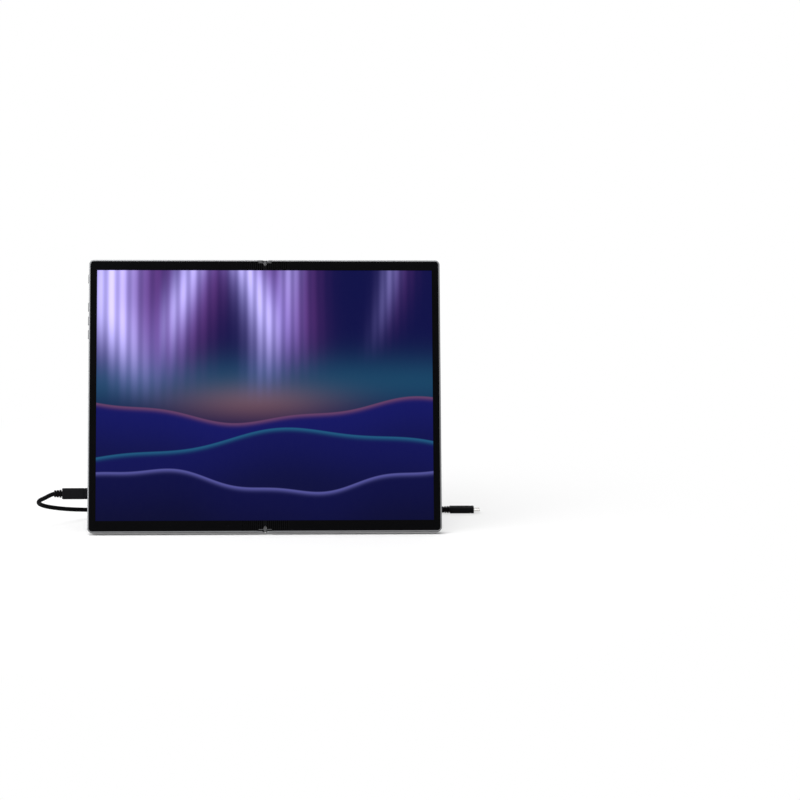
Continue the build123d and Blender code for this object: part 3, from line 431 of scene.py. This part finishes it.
class InsideSettings(bpy.types.PropertyGroup):
    """The hinge, plates, boards and ports"""
    steel: FloatVectorProperty(
        name="Steel", description="Colour of the hinge's steel", default=(0.5, 0.5, 0.52),
        subtype="COLOR")
    gear: FloatVectorProperty(
        name="Gear", description="Colour of the gears and shafts", default=(0.4, 0.39, 0.38),
        subtype="COLOR")
    bronze: FloatVectorProperty(
        name="Bronze", description="Colour of the friction washers", default=(0.5, 0.31, 0.12),
        subtype="COLOR")
    sheet: FloatVectorProperty(
        name="Sheet", description="Colour of the support plates", default=(0.6, 0.6, 0.61),
        subtype="COLOR")
    board: FloatVectorProperty(
        name="Board", description="Colour of the boards", default=(0.008, 0.07, 0.035),
        subtype="COLOR")
    film: FloatVectorProperty(
        name="Film", description="Colour of the screen's ribbon", default=(0.4, 0.17, 0.03),
        subtype="COLOR")
    switch: FloatVectorProperty(
        name="Switch", description="Colour of the buttons' switches", default=(0.03, 0.03, 0.03),
        subtype="COLOR")
    screw: FloatVectorProperty(
        name="Screw", description="Colour of the screws", default=(0.32, 0.32, 0.33),
        subtype="COLOR")
    plating: FloatVectorProperty(
        name="Plating", description="Colour of the ports' mouths", default=(0.5, 0.5, 0.5),
        subtype="COLOR")
    # Partly the ports' dark plastic, partly painted shade deep in the port
    dark_plastic_and_shade: FloatVectorProperty(
        name="Moulding", description="Colour inside the ports", default=(0.006, 0.006, 0.0065),
        subtype="COLOR")
    port_lip: FloatProperty(
        name="Port lip", description="Depth of the plated edge of a port's mouth", default=0.0003,
        subtype="DISTANCE", unit="LENGTH")


class StageSettings(bpy.types.PropertyGroup):
    """The floor, the room and the lamps"""
    floor: FloatVectorProperty(
        name="Floor", description="Colour of the floor", default=(0.86, 0.86, 0.86),
        subtype="COLOR")
    reach: FloatProperty(
        name="Reach", description="Half the floor's width", default=6.0,
        subtype="DISTANCE", unit="LENGTH")
    drop: FloatProperty(
        name="Drop", description="Gap between the object and the floor", default=0.0002,
        subtype="DISTANCE", unit="LENGTH")
    whiteness: FloatProperty(
        name="Whiteness", description="Share of plain white that shows on the floor beside the object",
        default=0.6, subtype="FACTOR")
    fade_start: FloatProperty(
        name="Fade start", description="Distance at which the floor starts to turn plain white", default=0.25,
        subtype="DISTANCE", unit="LENGTH")
    fade_end: FloatProperty(
        name="Fade end", description="Distance from which the floor is plain white", default=0.55,
        subtype="DISTANCE", unit="LENGTH")
    # Painted contact shadow, partly real: in a fixed strip along the foot the floor's white glow is cut, so
    # it is darker there and the real shadow shows through
    contact: FloatProperty(
        name="Contact", description="Width of the darker line where the object stands", default=0.014,
        subtype="DISTANCE", unit="LENGTH")
    contact_shadow_core: FloatProperty(
        name="Contact core", description="Share of that line that shows no plain white", default=0.1,
        subtype="FACTOR")
    room: FloatProperty(name="Room", description="Strength of the light from all round", default=0.45)
    front_share: FloatProperty(
        name="Front share", description="Share of the room's light that comes from the front", default=0.12)
    back_share: FloatProperty(
        name="Back share", description="Share of the room's light that comes from behind", default=2.0)
    left_power: FloatProperty(
        name="Left power", description="Power of the lamp at the left", default=34, unit="POWER")
    top_power: FloatProperty(
        name="Top power", description="Power of the lamp overhead", default=46, unit="POWER")


class MonitorSettings(bpy.types.PropertyGroup):
    """All the settings of the monitor's looks"""
    camera: PointerProperty(type=CameraSettings, name="Camera", description="Where the camera stands")
    cable: PointerProperty(type=CableSettings, name="Cable", description="The cord and its plugs")
    screen: PointerProperty(type=ScreenSettings, name="Screen", description="The screen and its picture")
    strips: PointerProperty(type=StripSettings, name="Strips", description="The ribbed strips")
    casing: PointerProperty(type=CasingSettings, name="Casing", description="The pieces outside")
    inside: PointerProperty(type=InsideSettings, name="Inside", description="The pieces inside")
    stage: PointerProperty(type=StageSettings, name="Stage", description="The floor and the light")


class MONITOR_OT_camera(bpy.types.Operator):
    """Stand the camera where the photograph was taken from"""
    bl_idname = "monitor.camera"
    bl_label = "Camera"

    def execute(self, context):
        settings = context.scene.monitor.camera
        level = math.cos(settings.dip)
        ahead = Vector((math.sin(settings.heading) * level, math.cos(settings.heading) * level,
                        -math.sin(settings.dip)))
        right = Vector((math.cos(settings.heading), -math.sin(settings.heading), 0))
        over = right.cross(ahead)
        turned_right = right * math.cos(settings.roll) + over * math.sin(settings.roll)
        turned_over = over * math.cos(settings.roll) - right * math.sin(settings.roll)
        facing = Matrix((turned_right, turned_over, -ahead)).transposed().to_4x4()
        data = bpy.data.cameras.new("photo_camera")
        data.lens = settings.lens
        data.sensor_width = settings.frame_width
        data.clip_end = SIGHT
        camera = bpy.data.objects.new("photo_camera", data)
        camera.matrix_world = Matrix.Translation(settings.place) @ facing
        context.scene.collection.objects.link(camera)
        context.scene.camera = camera
        return {"FINISHED"}


class MONITOR_OT_cable(bpy.types.Operator):
    """Lay the cord along its route and finish its plugs and boots"""
    bl_idname = "monitor.cable"
    bl_label = "Cable"

    def execute(self, context):
        settings = context.scene.monitor.cable
        jacket = grained("cord_jacket", settings.jacket, metallic=0.0, roughness=0.6, grain=2600,
                         depth=0.00004, spread=0.3, gloss=0.02)
        grip = grained("plug_grip_plastic", settings.grip, metallic=0.0, roughness=0.55, grain=3200,
                       depth=0.00003, spread=0.25, gloss=0.02)
        contact = grained("plated_contact", settings.contact, metallic=1.0, roughness=0.22, grain=1800,
                          depth=0.000004, stretch=(0.2, 1, 1))
        curve = bpy.data.curves.new("usb_cord", "CURVE")
        curve.dimensions = "3D"
        curve.bevel_depth = settings.thickness / 2
        curve.bevel_resolution = settings.round_steps
        curve.resolution_u = settings.length_steps
        curve.use_fill_caps = True
        line = curve.splines.new("NURBS")
        line.points.add(len(CORD_ROUTE) - 1)
        for point, spot in zip(line.points, CORD_ROUTE):
            point.co = (*spot, 1.0)
        line.order_u = 3
        line.use_endpoint_u = True
        curve.materials.append(jacket)
        cord = bpy.data.objects.new("usb_cord", curve)
        context.scene.collection.objects.link(cord)
        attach(cord, "left_half")
        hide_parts("cable_cord")
        dress(jacket, "cable_boot", "far_boot", "cable_cord")
        dress(grip, "cable_plug", "far_plug")
        dress(contact, "cable_plug_tip", "far_plug_tip")
        return {"FINISHED"}


class Picture(Shading):
    """Paints the lit panel, with sizes in shares of the picture's width and height."""
    CURTAIN_WAVER = 0.06
    CURTAIN_RISE = 0.42
    STRAND_RATE = 170
    STRAND_RATE_GROWTH = 120
    SIDE_SHIFT = 0.9
    SIDE_WIDTH = 1.5
    SIDE_STRENGTH = 0.3
    WARM_STRENGTH = 0.3
    COOL_STRENGTH = 0.16
    RIPPLE_RATE = 3.1
    RIPPLE_START = 0.3
    RIPPLE_SIZE = 0.22
    HILL_FADE = 0.25
    HILL_TOP_TONE = 1.3
    HILL_FOOT_TONE = 0.7
    RIDGE_SOFTNESS = 0.003
    RIDGE_GLOW_WIDTH = 0.012
    RIDGE_GLOW = 0.3

    def __init__(self, name, settings):
        super().__init__(name)
        self.settings = settings
        place = self.nodes.new("ShaderNodeUVMap")
        place.uv_map = "screen"
        shares = self.split(place.outputs[0])
        self.across = shares["X"]
        self.height = shares["Y"]

    def bell(self, value, middle, width):
        """1 in the middle, falling off to each side."""
        distance = self.calc("DIVIDE", self.calc("SUBTRACT", value, middle), width)
        return self.calc("POWER", math.e, self.product(self.product(distance, distance), -1.0))

    def wave(self, value, turns, start, size):
        """A wave with a number of turns in the whole picture."""
        angle = self.calc("ADD", self.product(value, turns * math.tau), start * math.tau)
        return self.product(self.calc("SINE", angle), size)

    def glow(self, picture, share, colour):
        """Add a share of a colour's light."""
        return self.mix(share, picture, opaque(colour), way="ADD")

    def sky(self):
        """The dark ground of the picture."""
        rise = self.between(self.height, low=0.25, high=1.05)
        return self.mix(rise, opaque(self.settings.night), opaque(self.settings.dusk))

    def curtain(self, picture, middle, turns, start, width, strength, foot):
        """Hang a curtain of fine strands that fades toward its foot."""
        line = self.calc("ADD", self.wave(self.height, turns, start, self.CURTAIN_WAVER), middle)
        strand_rate = self.STRAND_RATE + self.STRAND_RATE_GROWTH * middle
        strands = self.calc("SINE", self.product(self.across, strand_rate))
        strands = self.between(strands, low=-1.8, high=1.2, start=0.6)
        share = self.product(self.between(self.height, foot, foot + self.CURTAIN_RISE), strands)
        core = self.product(self.bell(self.across, line, width), self.product(share, strength))
        side_line = self.calc("ADD", line, self.SIDE_SHIFT * width)
        side = self.bell(self.across, side_line, self.SIDE_WIDTH * width)
        side = self.product(side, self.product(share, self.SIDE_STRENGTH * strength))
        picture = self.glow(picture, side, self.settings.pink)
        picture = self.glow(picture, core, self.settings.lilac)
        return self.glow(picture, self.calc("POWER", core, 2.0), self.settings.glare)

    def evening_glow(self, picture):
        """Warm light over the middle of the horizon and a cool band above it."""
        horizon = self.product(self.bell(self.height, middle=0.47, width=0.07),
                               self.bell(self.across, middle=0.47, width=0.22))
        picture = self.glow(picture, self.product(horizon, self.WARM_STRENGTH), self.settings.ember)
        band = self.bell(self.height, middle=0.55, width=0.1)
        return self.glow(picture, self.product(band, self.COOL_STRENGTH), self.settings.teal)

    def hill(self, picture, level, turns, start, size, tone, edge):
        """Cover the picture below a rippled ridge, whose edge glows."""
        ripple = self.wave(self.across, self.RIPPLE_RATE * turns, self.RIPPLE_START + start,
                           self.RIPPLE_SIZE * size)
        ridge = self.calc("ADD", self.calc("ADD", self.wave(self.across, turns, start, size), level), ripple)
        below = self.calc("SUBTRACT", ridge, self.height)
        body = self.mix(self.between(below, 0.0, self.HILL_FADE),
                        shade(self.settings.dusk, self.HILL_TOP_TONE * tone),
                        shade(self.settings.night, self.HILL_FOOT_TONE * tone))
        rim = self.product(self.bell(below, 0.0, self.RIDGE_GLOW_WIDTH), self.RIDGE_GLOW)
        covered = self.between(below, -self.RIDGE_SOFTNESS, self.RIDGE_SOFTNESS)
        return self.mix(covered, picture, self.glow(body, rim, edge))

    def framed(self, picture):
        """Leave the panel dark where it runs under the bezel."""
        edge = self.settings.unlit_edge
        inside = self.product(self.between(self.across, -edge, 0.0), self.between(self.across, 1 + edge, 1.0))
        inside = self.product(inside, self.between(self.height, -edge, 0.0))
        inside = self.product(inside, self.between(self.height, 1 + edge, 1.0))
        return self.mix(inside, (0.0, 0.0, 0.0, 1.0), picture)


def lit_picture(settings):
    """The lit panel: an evening landscape of light curtains over hills, under a glossy film."""
    look = Picture("lit_screen", settings)
    picture = look.sky()
    picture = look.curtain(picture, middle=0.1, turns=0.75, start=0.05, width=0.08, strength=0.75, foot=0.42)
    picture = look.curtain(picture, middle=0.27, turns=0.62, start=0.4, width=0.05, strength=0.6, foot=0.5)
    picture = look.curtain(picture, middle=0.45, turns=0.8, start=0.7, width=0.055, strength=0.65, foot=0.44)
    picture = look.curtain(picture, middle=0.63, turns=0.5, start=0.3, width=0.04, strength=0.4, foot=0.55)
    picture = look.curtain(picture, middle=0.82, turns=0.6, start=0.6, width=0.03, strength=0.25, foot=0.6)
    picture = look.evening_glow(picture)
    picture = look.hill(picture, level=0.44, turns=0.9, start=0.35, size=0.045, tone=1.5, edge=settings.ember)
    picture = look.hill(picture, level=0.3, turns=0.7, start=0.8, size=0.06, tone=1.15, edge=settings.teal)
    picture = look.hill(picture, level=0.16, turns=1.1, start=0.1, size=0.045, tone=0.7, edge=settings.lilac)
    film = look.noise(look.place(stretch=(1, 1, 0.05)), scale=260, detail=1.0)
    dark_film = opaque((0.001, 0.001, 0.002))
    pale_film = opaque((0.002, 0.002, 0.003))
    look.feed("Emission Color", look.framed(picture))
    look.feed("Emission Strength", settings.brightness)
    look.feed("Base Color", look.mix(film, dark_film, pale_film))
    look.feed("Roughness", 0.12)
    look.feed("Specular IOR Level", 0.03)
    look.bump(film, distance=0.000004)
    return look.material


def slab_faces(columns, rows, side):
    """Faces of a thin slab whose spots run front then back, column by column; side turns them outward."""
    back = columns * rows
    faces = []
    for column in range(columns - 1):
        for row in range(rows - 1):
            here = column * rows + row
            face = (here, here + rows, here + rows + 1, here + 1)
            faces.append(face)
            faces.append(tuple(back + spot for spot in reversed(face)))
    edge = [column * rows for column in range(columns)]
    edge += [(columns - 1) * rows + row for row in range(1, rows)]
    edge += [column * rows + rows - 1 for column in range(columns - 2, -1, -1)]
    edge += [row for row in range(rows - 2, 0, -1)]
    for here, there in zip(edge, edge[1:] + edge[:1]):
        faces.append((there, here, back + here, back + there))
    return faces if side < 0 else turned(faces)


class MONITOR_OT_screen(bpy.types.Operator):
    """Make the two halves of the folding screen, with finer columns toward the fold, and light them"""
    bl_idname = "monitor.screen"
    bl_label = "Screen"

    def execute(self, context):
        settings = context.scene.monitor.screen
        finish = lit_picture(settings)
        low, high = panel_box("display_left", "display_fold", "display_right")
        bend = panel_box("display_fold")[1].x
        width = high.x - low.x - 2 * settings.margin
        height = high.z - low.z - 2 * settings.margin

        def pictured(spot):
            return ((spot[0] - low.x - settings.margin) / width, (spot[2] - low.z - settings.margin) / height)

        rows = [low.z + (high.z - low.z) * row / settings.rows for row in range(settings.rows + 1)]
        for side, word, half in HALVES:
            end = -low.x if side < 0 else high.x
            flat_step = (bend - end) / settings.flat_columns
            bent_step = bend / settings.bend_columns
            flat = [end + flat_step * step for step in range(settings.flat_columns)]
            bent = [bend - bent_step * step for step in range(settings.bend_columns)] + [0.0]
            columns = [side * x for x in flat + bent]
            spots = [(x, depth, z) for depth in (low.y, high.y) for x in columns for z in rows]
            faces = slab_faces(len(columns), len(rows), side)
            piece = new_piece(f"screen_{word}", spots, faces, [finish], pictured)
            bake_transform(piece)
            if side < 0:
                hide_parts("display_left", "display_fold")
            else:
                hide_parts("display_right")
        dress(finish, "display_left", "display_fold", "display_right")
        return {"FINISHED"}


class MONITOR_OT_strips(bpy.types.Operator):
    """Make the ribbed strips that cross the fold above and below the screen"""
    bl_idname = "monitor.strips"
    bl_label = "Flexible strips"

    def execute(self, context):
        settings = context.scene.monitor.strips
        crown = grained("strip_crown", settings.crown, metallic=0.0, roughness=0.3, grain=2800,
                        depth=0.00001, spread=0.3, gloss=0.03)
        # Painted shade: the grooves get a darker, rougher copy of the strip's finish
        groove = grained("strip_groove_painted_shade", settings.groove, metallic=0.0, roughness=0.7, grain=2800,
                         depth=0.00002, spread=0.3, gloss=0.01)
        metal = grained("bead_metal", settings.bead, metallic=1.0, roughness=0.3, grain=2400,
                        depth=0.00001, spread=0.07)
        for name, cap, upward in (("lower_flex_bezel", "lower_spine_cap", True),
                                  ("upper_flex_bezel", "upper_spine_cap", False)):
            low, high = panel_box(name)
            cap_low, cap_high = panel_box(cap)
            outer, inner, sign = (low.z, high.z, 1) if upward else (high.z, low.z, -1)
            tip = (cap_high.z if upward else cap_low.z) + sign * settings.clearance
            for side, word, half in HALVES:
                spots, faces, kinds = self.ribbed(settings, high.x, low.y, high.y, outer, inner, tip, sign)
                spots = [(side * x, y, z) for x, y, z in spots]
                if side * sign > 0:
                    faces = turned(faces)
                piece = new_piece(f"{name}_{word}", spots, faces, [crown, groove], kinds=kinds)
                spots, faces = self.beaded(settings, side, low.y, outer + sign * settings.bead_height)
                bead = new_piece(f"{name}_bead_{word}", spots, faces, [metal])
                for part in (piece, bead):
                    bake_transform(part)
                if side < 0:
                    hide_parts(name)
        dress(crown, "lower_flex_bezel", "upper_flex_bezel")
        return {"FINISHED"}

    def ribbed(self, settings, end, front, back, outer, inner, tip, sign):
        """Half a strip from its end to the fold: its spots, its faces and which of them lie in a groove.

        A rung is a row of spots across the strip, front then back. Beside the notch for the post, a rung goes
        from the outer edge past the notch's shoulder to the inner edge. In the notch it starts at the slope.
        """
        shoulder = tip - sign * settings.notch
        ribs = round((end - settings.notch) / settings.pitch)
        pitch = (end - settings.notch) / ribs
        rungs = []
        for step in range(ribs * settings.steps, -1, -1):
            turn = math.tau * step / settings.steps
            x = settings.notch + pitch * step / settings.steps
            sunk = settings.depth * (1 - math.cos(turn)) / 2
            rungs.append((x, front + sunk, (outer, shoulder, inner)))
        notch_rung = len(rungs) - 1
        rungs.append((settings.notch / 2, front, (tip - sign * settings.notch / 2, inner)))
        rungs.append((0.0, front, (tip, inner)))
        spots = []
        starts = []
        for x, face, heights in rungs:
            starts.append(len(spots))
            spots += [(x, face, z) for z in heights] + [(x, back, z) for z in heights]
        faces = []
        kinds = []
        for here, there, rung, after in zip(starts, starts[1:], rungs, rungs[1:]):
            many = len(rung[2])
            next_many = len(after[2])
            first = list(range(here, here + many))
            second = list(range(there, there + next_many))
            if many > next_many:
                first = first[1:]
            for low_one, high_one, low_two, high_two in zip(first, first[1:], second, second[1:]):
                faces.append((low_one, high_one, high_two, low_two))
                faces.append((low_one + many, low_two + next_many, high_two + next_many, high_one + many))
            faces.append((first[0], second[0], second[0] + next_many, first[0] + many))
            faces.append((first[-1], first[-1] + many, second[-1] + next_many, second[-1]))
            # Faces in a groove take the groove finish, whose darker colour is painted shade
            takes_groove_shade = (rung[1] + after[1]) / 2 - front > settings.depth / 2
            kinds += [int(takes_groove_shade)] * (len(faces) - len(kinds))
        many = len(rungs[0][2])
        for spot in range(many - 1):
            faces.append((spot, spot + many, spot + many + 1, spot + 1))
        wall = starts[notch_rung]
        faces.append((wall, wall + 1, wall + many + 1, wall + many))
        last = starts[-1]
        last_many = len(rungs[-1][2])
        faces.append((last, last + 1, last + last_many + 1, last + last_many))
        kinds += [0] * (len(faces) - len(kinds))
        return spots, faces, kinds

    def beaded(self, settings, side, front, middle):
        """A thin metal bead on half a strip, beside the post: its spots and faces."""
        first = settings.notch + settings.clearance
        step_length = (settings.bead_end - first) / settings.steps
        columns = [first + step_length * step for step in range(settings.steps + 1)]
        half = settings.bead_half
        root = settings.bead_root
        proud = settings.bead_proud
        ring = ((root, -half), (-proud / 2, -half), (-proud, 0.0), (-proud / 2, half), (root, half))
        spots = [(side * x, front + y, middle + z) for x in columns for y, z in ring]
        many = len(ring)
        faces = [tuple(range(many)), tuple(reversed(range(len(spots) - many, len(spots))))]
        for start in range(0, len(spots) - many, many):
            for step in range(many):
                here = start + step
                there = start + (step + 1) % many
                faces.append((there, here, here + many, there + many))
        return spots, faces if side < 0 else turned(faces)


class MONITOR_OT_casing(bpy.types.Operator):
    """Finish the casing halves, bezels, kickstand and buttons"""
    bl_idname = "monitor.casing"
    bl_label = "Casing"

    def execute(self, context):
        settings = context.scene.monitor.casing
        metal = grained("blasted_aluminium", settings.metal, metallic=1.0, roughness=0.38, grain=2400,
                        depth=0.000004, spread=0.06, broad=0.15)
        bezel = grained("bezel_plastic", settings.bezel, metallic=0.0, roughness=0.45, grain=3000,
                        depth=0.00002, spread=0.3, gloss=0.02)
        button = grained("button_metal", settings.button, metallic=1.0, roughness=0.3, grain=2600,
                         depth=0.00001, spread=0.08)
        rubber = grained("foot_rubber", settings.rubber, metallic=0.0, roughness=0.75, grain=1500,
                         depth=0.00008, spread=0.35)
        post = grained("post_metal", settings.post, metallic=1.0, roughness=0.36, grain=2400,
                       depth=0.000004, spread=0.06, broad=0.15)
        dress(metal, "left_rear_cover", "right_rear_cover", "kickstand_flap")
        dress(post, "lower_spine_cap", "upper_spine_cap")
        dress(bezel, "left_bezel", "right_bezel")
        dress(button, "power_button", "menu_button", "up_button", "down_button")
        dress(rubber, "kickstand_foot")
        return {"FINISHED"}


class MONITOR_OT_hinge(bpy.types.Operator):
    """Finish the hinge spine, its gears, washers and arms, and the plates beside it"""
    bl_idname = "monitor.hinge"
    bl_label = "Hinge"

    def execute(self, context):
        settings = context.scene.monitor.inside
        steel = grained("brushed_steel", settings.steel, metallic=1.0, roughness=0.34, grain=900,
                        depth=0.00001, stretch=(0.05, 1, 1))
        gear = grained("oiled_gear_steel", settings.gear, metallic=1.0, roughness=0.26, grain=1400,
                       depth=0.000008, spread=0.18)
        bronze = grained("washer_bronze", settings.bronze, metallic=1.0, roughness=0.38, grain=1600,
                         depth=0.00001, spread=0.15)
        sheet = grained("plain_sheet", settings.sheet, metallic=1.0, roughness=0.42, grain=700,
                        depth=0.00001, stretch=(1, 1, 0.05))
        dress(steel, "spine_channel", "lower_hinge_block", "upper_hinge_block", "lower_left_hinge_arm",
              "upper_left_hinge_arm", "lower_right_hinge_arm", "upper_right_hinge_arm", "left_wing_plate",
              "right_wing_plate", "kickstand_pins", "kickstand_brackets")
        dress(gear, "lower_left_pinion", "lower_right_pinion", "upper_left_pinion", "upper_right_pinion",
              "lower_left_idler", "lower_right_idler", "upper_left_idler", "upper_right_idler")
        dress(bronze, "left_friction_washers", "right_friction_washers")
        dress(sheet, "left_support_plate", "right_support_plate")
        return {"FINISHED"}


class MONITOR_OT_electronics(bpy.types.Operator):
    """Finish the boards, ports, switches, ribbon and screws"""
    bl_idname = "monitor.electronics"
    bl_label = "Electronics"

    def execute(self, context):
        settings = context.scene.monitor.inside
        board = self.traced(settings.board)
        port = self.plated_mouth(settings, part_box("usb_c_port_lower")[0][0])
        film = grained("ribbon_film", settings.film, metallic=0.0, roughness=0.3, grain=500,
                       depth=0.00001, spread=0.3, stretch=(4, 0.05, 0.05))
        switch = grained("switch_plastic", settings.switch, metallic=0.0, roughness=0.5, grain=2000,
                         depth=0.00002, spread=0.2)
        plated = grained("plated_screw", settings.screw, metallic=1.0, roughness=0.3, grain=1500,
                         depth=0.00001, spread=0.15)
        dress(port, "usb_c_port_lower", "usb_c_port_upper", "mini_hdmi_port")
        dress(board, "main_board", "driver_board", "button_board")
        dress(film, "screen_ribbon")
        dress(switch, "button_switches")
        dress(plated, "left_plate_screws", "right_plate_screws", "board_screws")
        return {"FINISHED"}

    def plated_mouth(self, settings, mouth):
        """A port's shell: plated round its mouth; further in, a near-black colour that is partly the dark
        plastic and partly painted shade in the recess.
        """
        look = Shading("port_shell")
        depth = look.split(look.place())["X"]
        # Past the plated lip the shell turns near-black: partly dark plastic, partly painted shade
        sunk = look.between(depth, mouth + settings.port_lip, mouth + 2 * settings.port_lip)
        grain = look.noise(look.place(), scale=1800)
        plating = look.mix(grain, shade(settings.plating, share=0.9), shade(settings.plating, share=1.1))
        dark_plastic_and_shade = look.mix(grain, shade(settings.dark_plastic_and_shade, share=0.7), shade(settings.dark_plastic_and_shade, share=1.3))
        look.feed("Base Color", look.mix(sunk, plating, dark_plastic_and_shade))
        look.feed("Metallic", look.calc("SUBTRACT", 1.0, sunk))
        look.feed("Roughness", look.between(sunk, low=0.0, high=1.0, start=0.3, end=0.6))
        look.feed("Specular IOR Level", 0.1)
        look.bump(grain, distance=0.000004)
        return look.material

    def traced(self, colour):
        """Solder mask over copper tracks."""
        look = Shading("circuit_board")
        track = look.nodes.new("ShaderNodeTexBrick")
        track.inputs["Scale"].default_value = 320
        track.inputs["Mortar Size"].default_value = 0.06
        look.links.new(look.place(), track.inputs["Vector"])
        tone = look.noise(look.place(), scale=600)
        mask = look.mix(tone, shade(colour, share=0.75), shade(colour, share=1.25))
        look.feed("Base Color", look.mix(track.outputs["Fac"], mask, shade(colour, share=2.2)))
        look.feed("Roughness", 0.35)
        look.bump(track.outputs["Fac"], distance=0.00003)
        return look.material


class MONITOR_OT_stage(bpy.types.Operator):
    """Lay the floor and set the soft studio light"""
    bl_idname = "monitor.stage"
    bl_label = "Stage"

    def execute(self, context):
        settings = context.scene.monitor.stage
        context.scene.view_settings.view_transform = "Standard"
        self.floor(context, settings)
        self.room(context, settings)
        self.lamp(context, "left_light", place=(-1.9, -0.5, 0.9), aim=(-0.1, 0, 0.15), size=1.6,
                  power=settings.left_power)
        self.lamp(context, "top_light", place=(-0.5, -0.4, 2.3), aim=(0, 0, 0.1), size=2.2,
                  power=settings.top_power)
        return {"FINISHED"}

    def lamp(self, context, name, place, aim, size, power):
        """A square lamp that faces its aim."""
        data = bpy.data.lights.new(name, "AREA")
        data.size = size
        data.energy = power
        lamp = bpy.data.objects.new(name, data)
        facing = (Vector(aim) - Vector(place)).to_track_quat("-Z", "Y")
        lamp.matrix_world = Matrix.Translation(place) @ facing.to_matrix().to_4x4()
        context.scene.collection.objects.link(lamp)

    def floor(self, context, settings):
        """A pale floor that keeps the object's shadow and turns plain white away from it, with a painted
        contact shadow: a strip along the foot where the white glow is cut, so the floor is darker there.
        """
        reach = settings.reach
        mesh = bpy.data.meshes.new("floor")
        mesh.from_pydata([(-reach, -reach, 0), (reach, -reach, 0), (reach, reach, 0), (-reach, reach, 0)], [],
                         [(0, 1, 2, 3)])
        floor = bpy.data.objects.new("floor", mesh)
        floor.location.z = -settings.drop
        context.scene.collection.objects.link(floor)
        look = Shading("studio_floor")
        look.feed("Base Color", opaque(settings.floor))
        look.feed("Roughness", 0.9)
        look.feed("Specular IOR Level", 0.0)
        white = look.nodes.new("ShaderNodeEmission")
        mixed = look.nodes.new("ShaderNodeMixShader")
        spot = look.place()
        far = look.nodes.new("ShaderNodeVectorMath")
        far.operation = "LENGTH"
        look.links.new(spot, far.inputs[0])
        parts = look.split(spot)
        # Painted contact shadow: a strip around the right cover's box where the white glow fades out
        foot_low, foot_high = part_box("right_rear_cover")
        before = look.calc("ABSOLUTE", look.calc("SUBTRACT", parts["Y"], foot_low[1]))
        beside = look.calc("SUBTRACT", look.calc("ABSOLUTE", parts["X"]), foot_high[0])
        from_foot = look.calc("MAXIMUM", before, beside)
        contact = look.between(from_foot, settings.contact_shadow_core * settings.contact, settings.contact)
        share = look.between(far.outputs["Value"], settings.fade_start, settings.fade_end,
                             start=settings.whiteness, end=1.0)
        look.links.new(look.product(look.shown(), look.product(share, contact)), mixed.inputs[0])
        look.links.new(look.shader.outputs[0], mixed.inputs[1])
        look.links.new(white.outputs[0], mixed.inputs[2])
        look.links.new(mixed.outputs[0], look.nodes["Material Output"].inputs["Surface"])
        mesh.materials.append(look.material)

    def room(self, context, settings):
        """White for the camera and in reflections; a soft room, paler behind the object, for the light."""
        world = bpy.data.worlds.new("studio")
        world.use_nodes = True
        context.scene.world = world
        look = NodeTree(world.node_tree)
        backdrop = look.nodes["Background"]
        backdrop.inputs["Color"].default_value = (1, 1, 1, 1)
        toward = look.nodes.new("ShaderNodeTexCoord").outputs["Generated"]
        soft = look.between(look.split(toward)["Y"], low=-0.5, high=0.4,
                            start=settings.front_share * settings.room,
                            end=settings.back_share * settings.room, way="LINEAR")
        strength = look.nodes.new("ShaderNodeMix")
        look.links.new(look.shown(), strength.inputs["Factor"])
        look.links.new(soft, strength.inputs["A"])
        strength.inputs["B"].default_value = 1.0
        look.links.new(strength.outputs[0], backdrop.inputs["Strength"])


class MONITOR_PT_build(bpy.types.Panel):
    """Lists the steps in the order they are taken"""
    bl_idname = "MONITOR_PT_build"
    bl_label = "Folding monitor"
    bl_space_type = "VIEW_3D"
    bl_region_type = "UI"
    bl_category = "Monitor"

    def draw(self, context):
        for step in STEPS:
            self.layout.operator(step.bl_idname)


STEPS = (
    MONITOR_OT_camera,
    MONITOR_OT_cable,
    MONITOR_OT_screen,
    MONITOR_OT_strips,
    MONITOR_OT_casing,
    MONITOR_OT_hinge,
    MONITOR_OT_electronics,
    MONITOR_OT_stage,
)
GROUPS = (
    CameraSettings,
    CableSettings,
    ScreenSettings,
    StripSettings,
    CasingSettings,
    InsideSettings,
    StageSettings,
    MonitorSettings,
)


def register():
    for group in GROUPS + STEPS + (MONITOR_PT_build,):
        bpy.utils.register_class(group)
    bpy.types.Scene.monitor = PointerProperty(
        type=MonitorSettings, name="Monitor", description="Settings of the monitor's looks")


def unregister():
    del bpy.types.Scene.monitor
    for group in reversed(GROUPS + STEPS + (MONITOR_PT_build,)):
        bpy.utils.unregister_class(group)


def main():
    register()
    bpy.ops.monitor.camera()
    bpy.ops.monitor.cable()
    bpy.ops.monitor.screen()
    bpy.ops.monitor.strips()
    bpy.ops.monitor.casing()
    bpy.ops.monitor.hinge()
    bpy.ops.monitor.electronics()
    bpy.ops.monitor.stage()


if __name__ == "__main__":
    main()
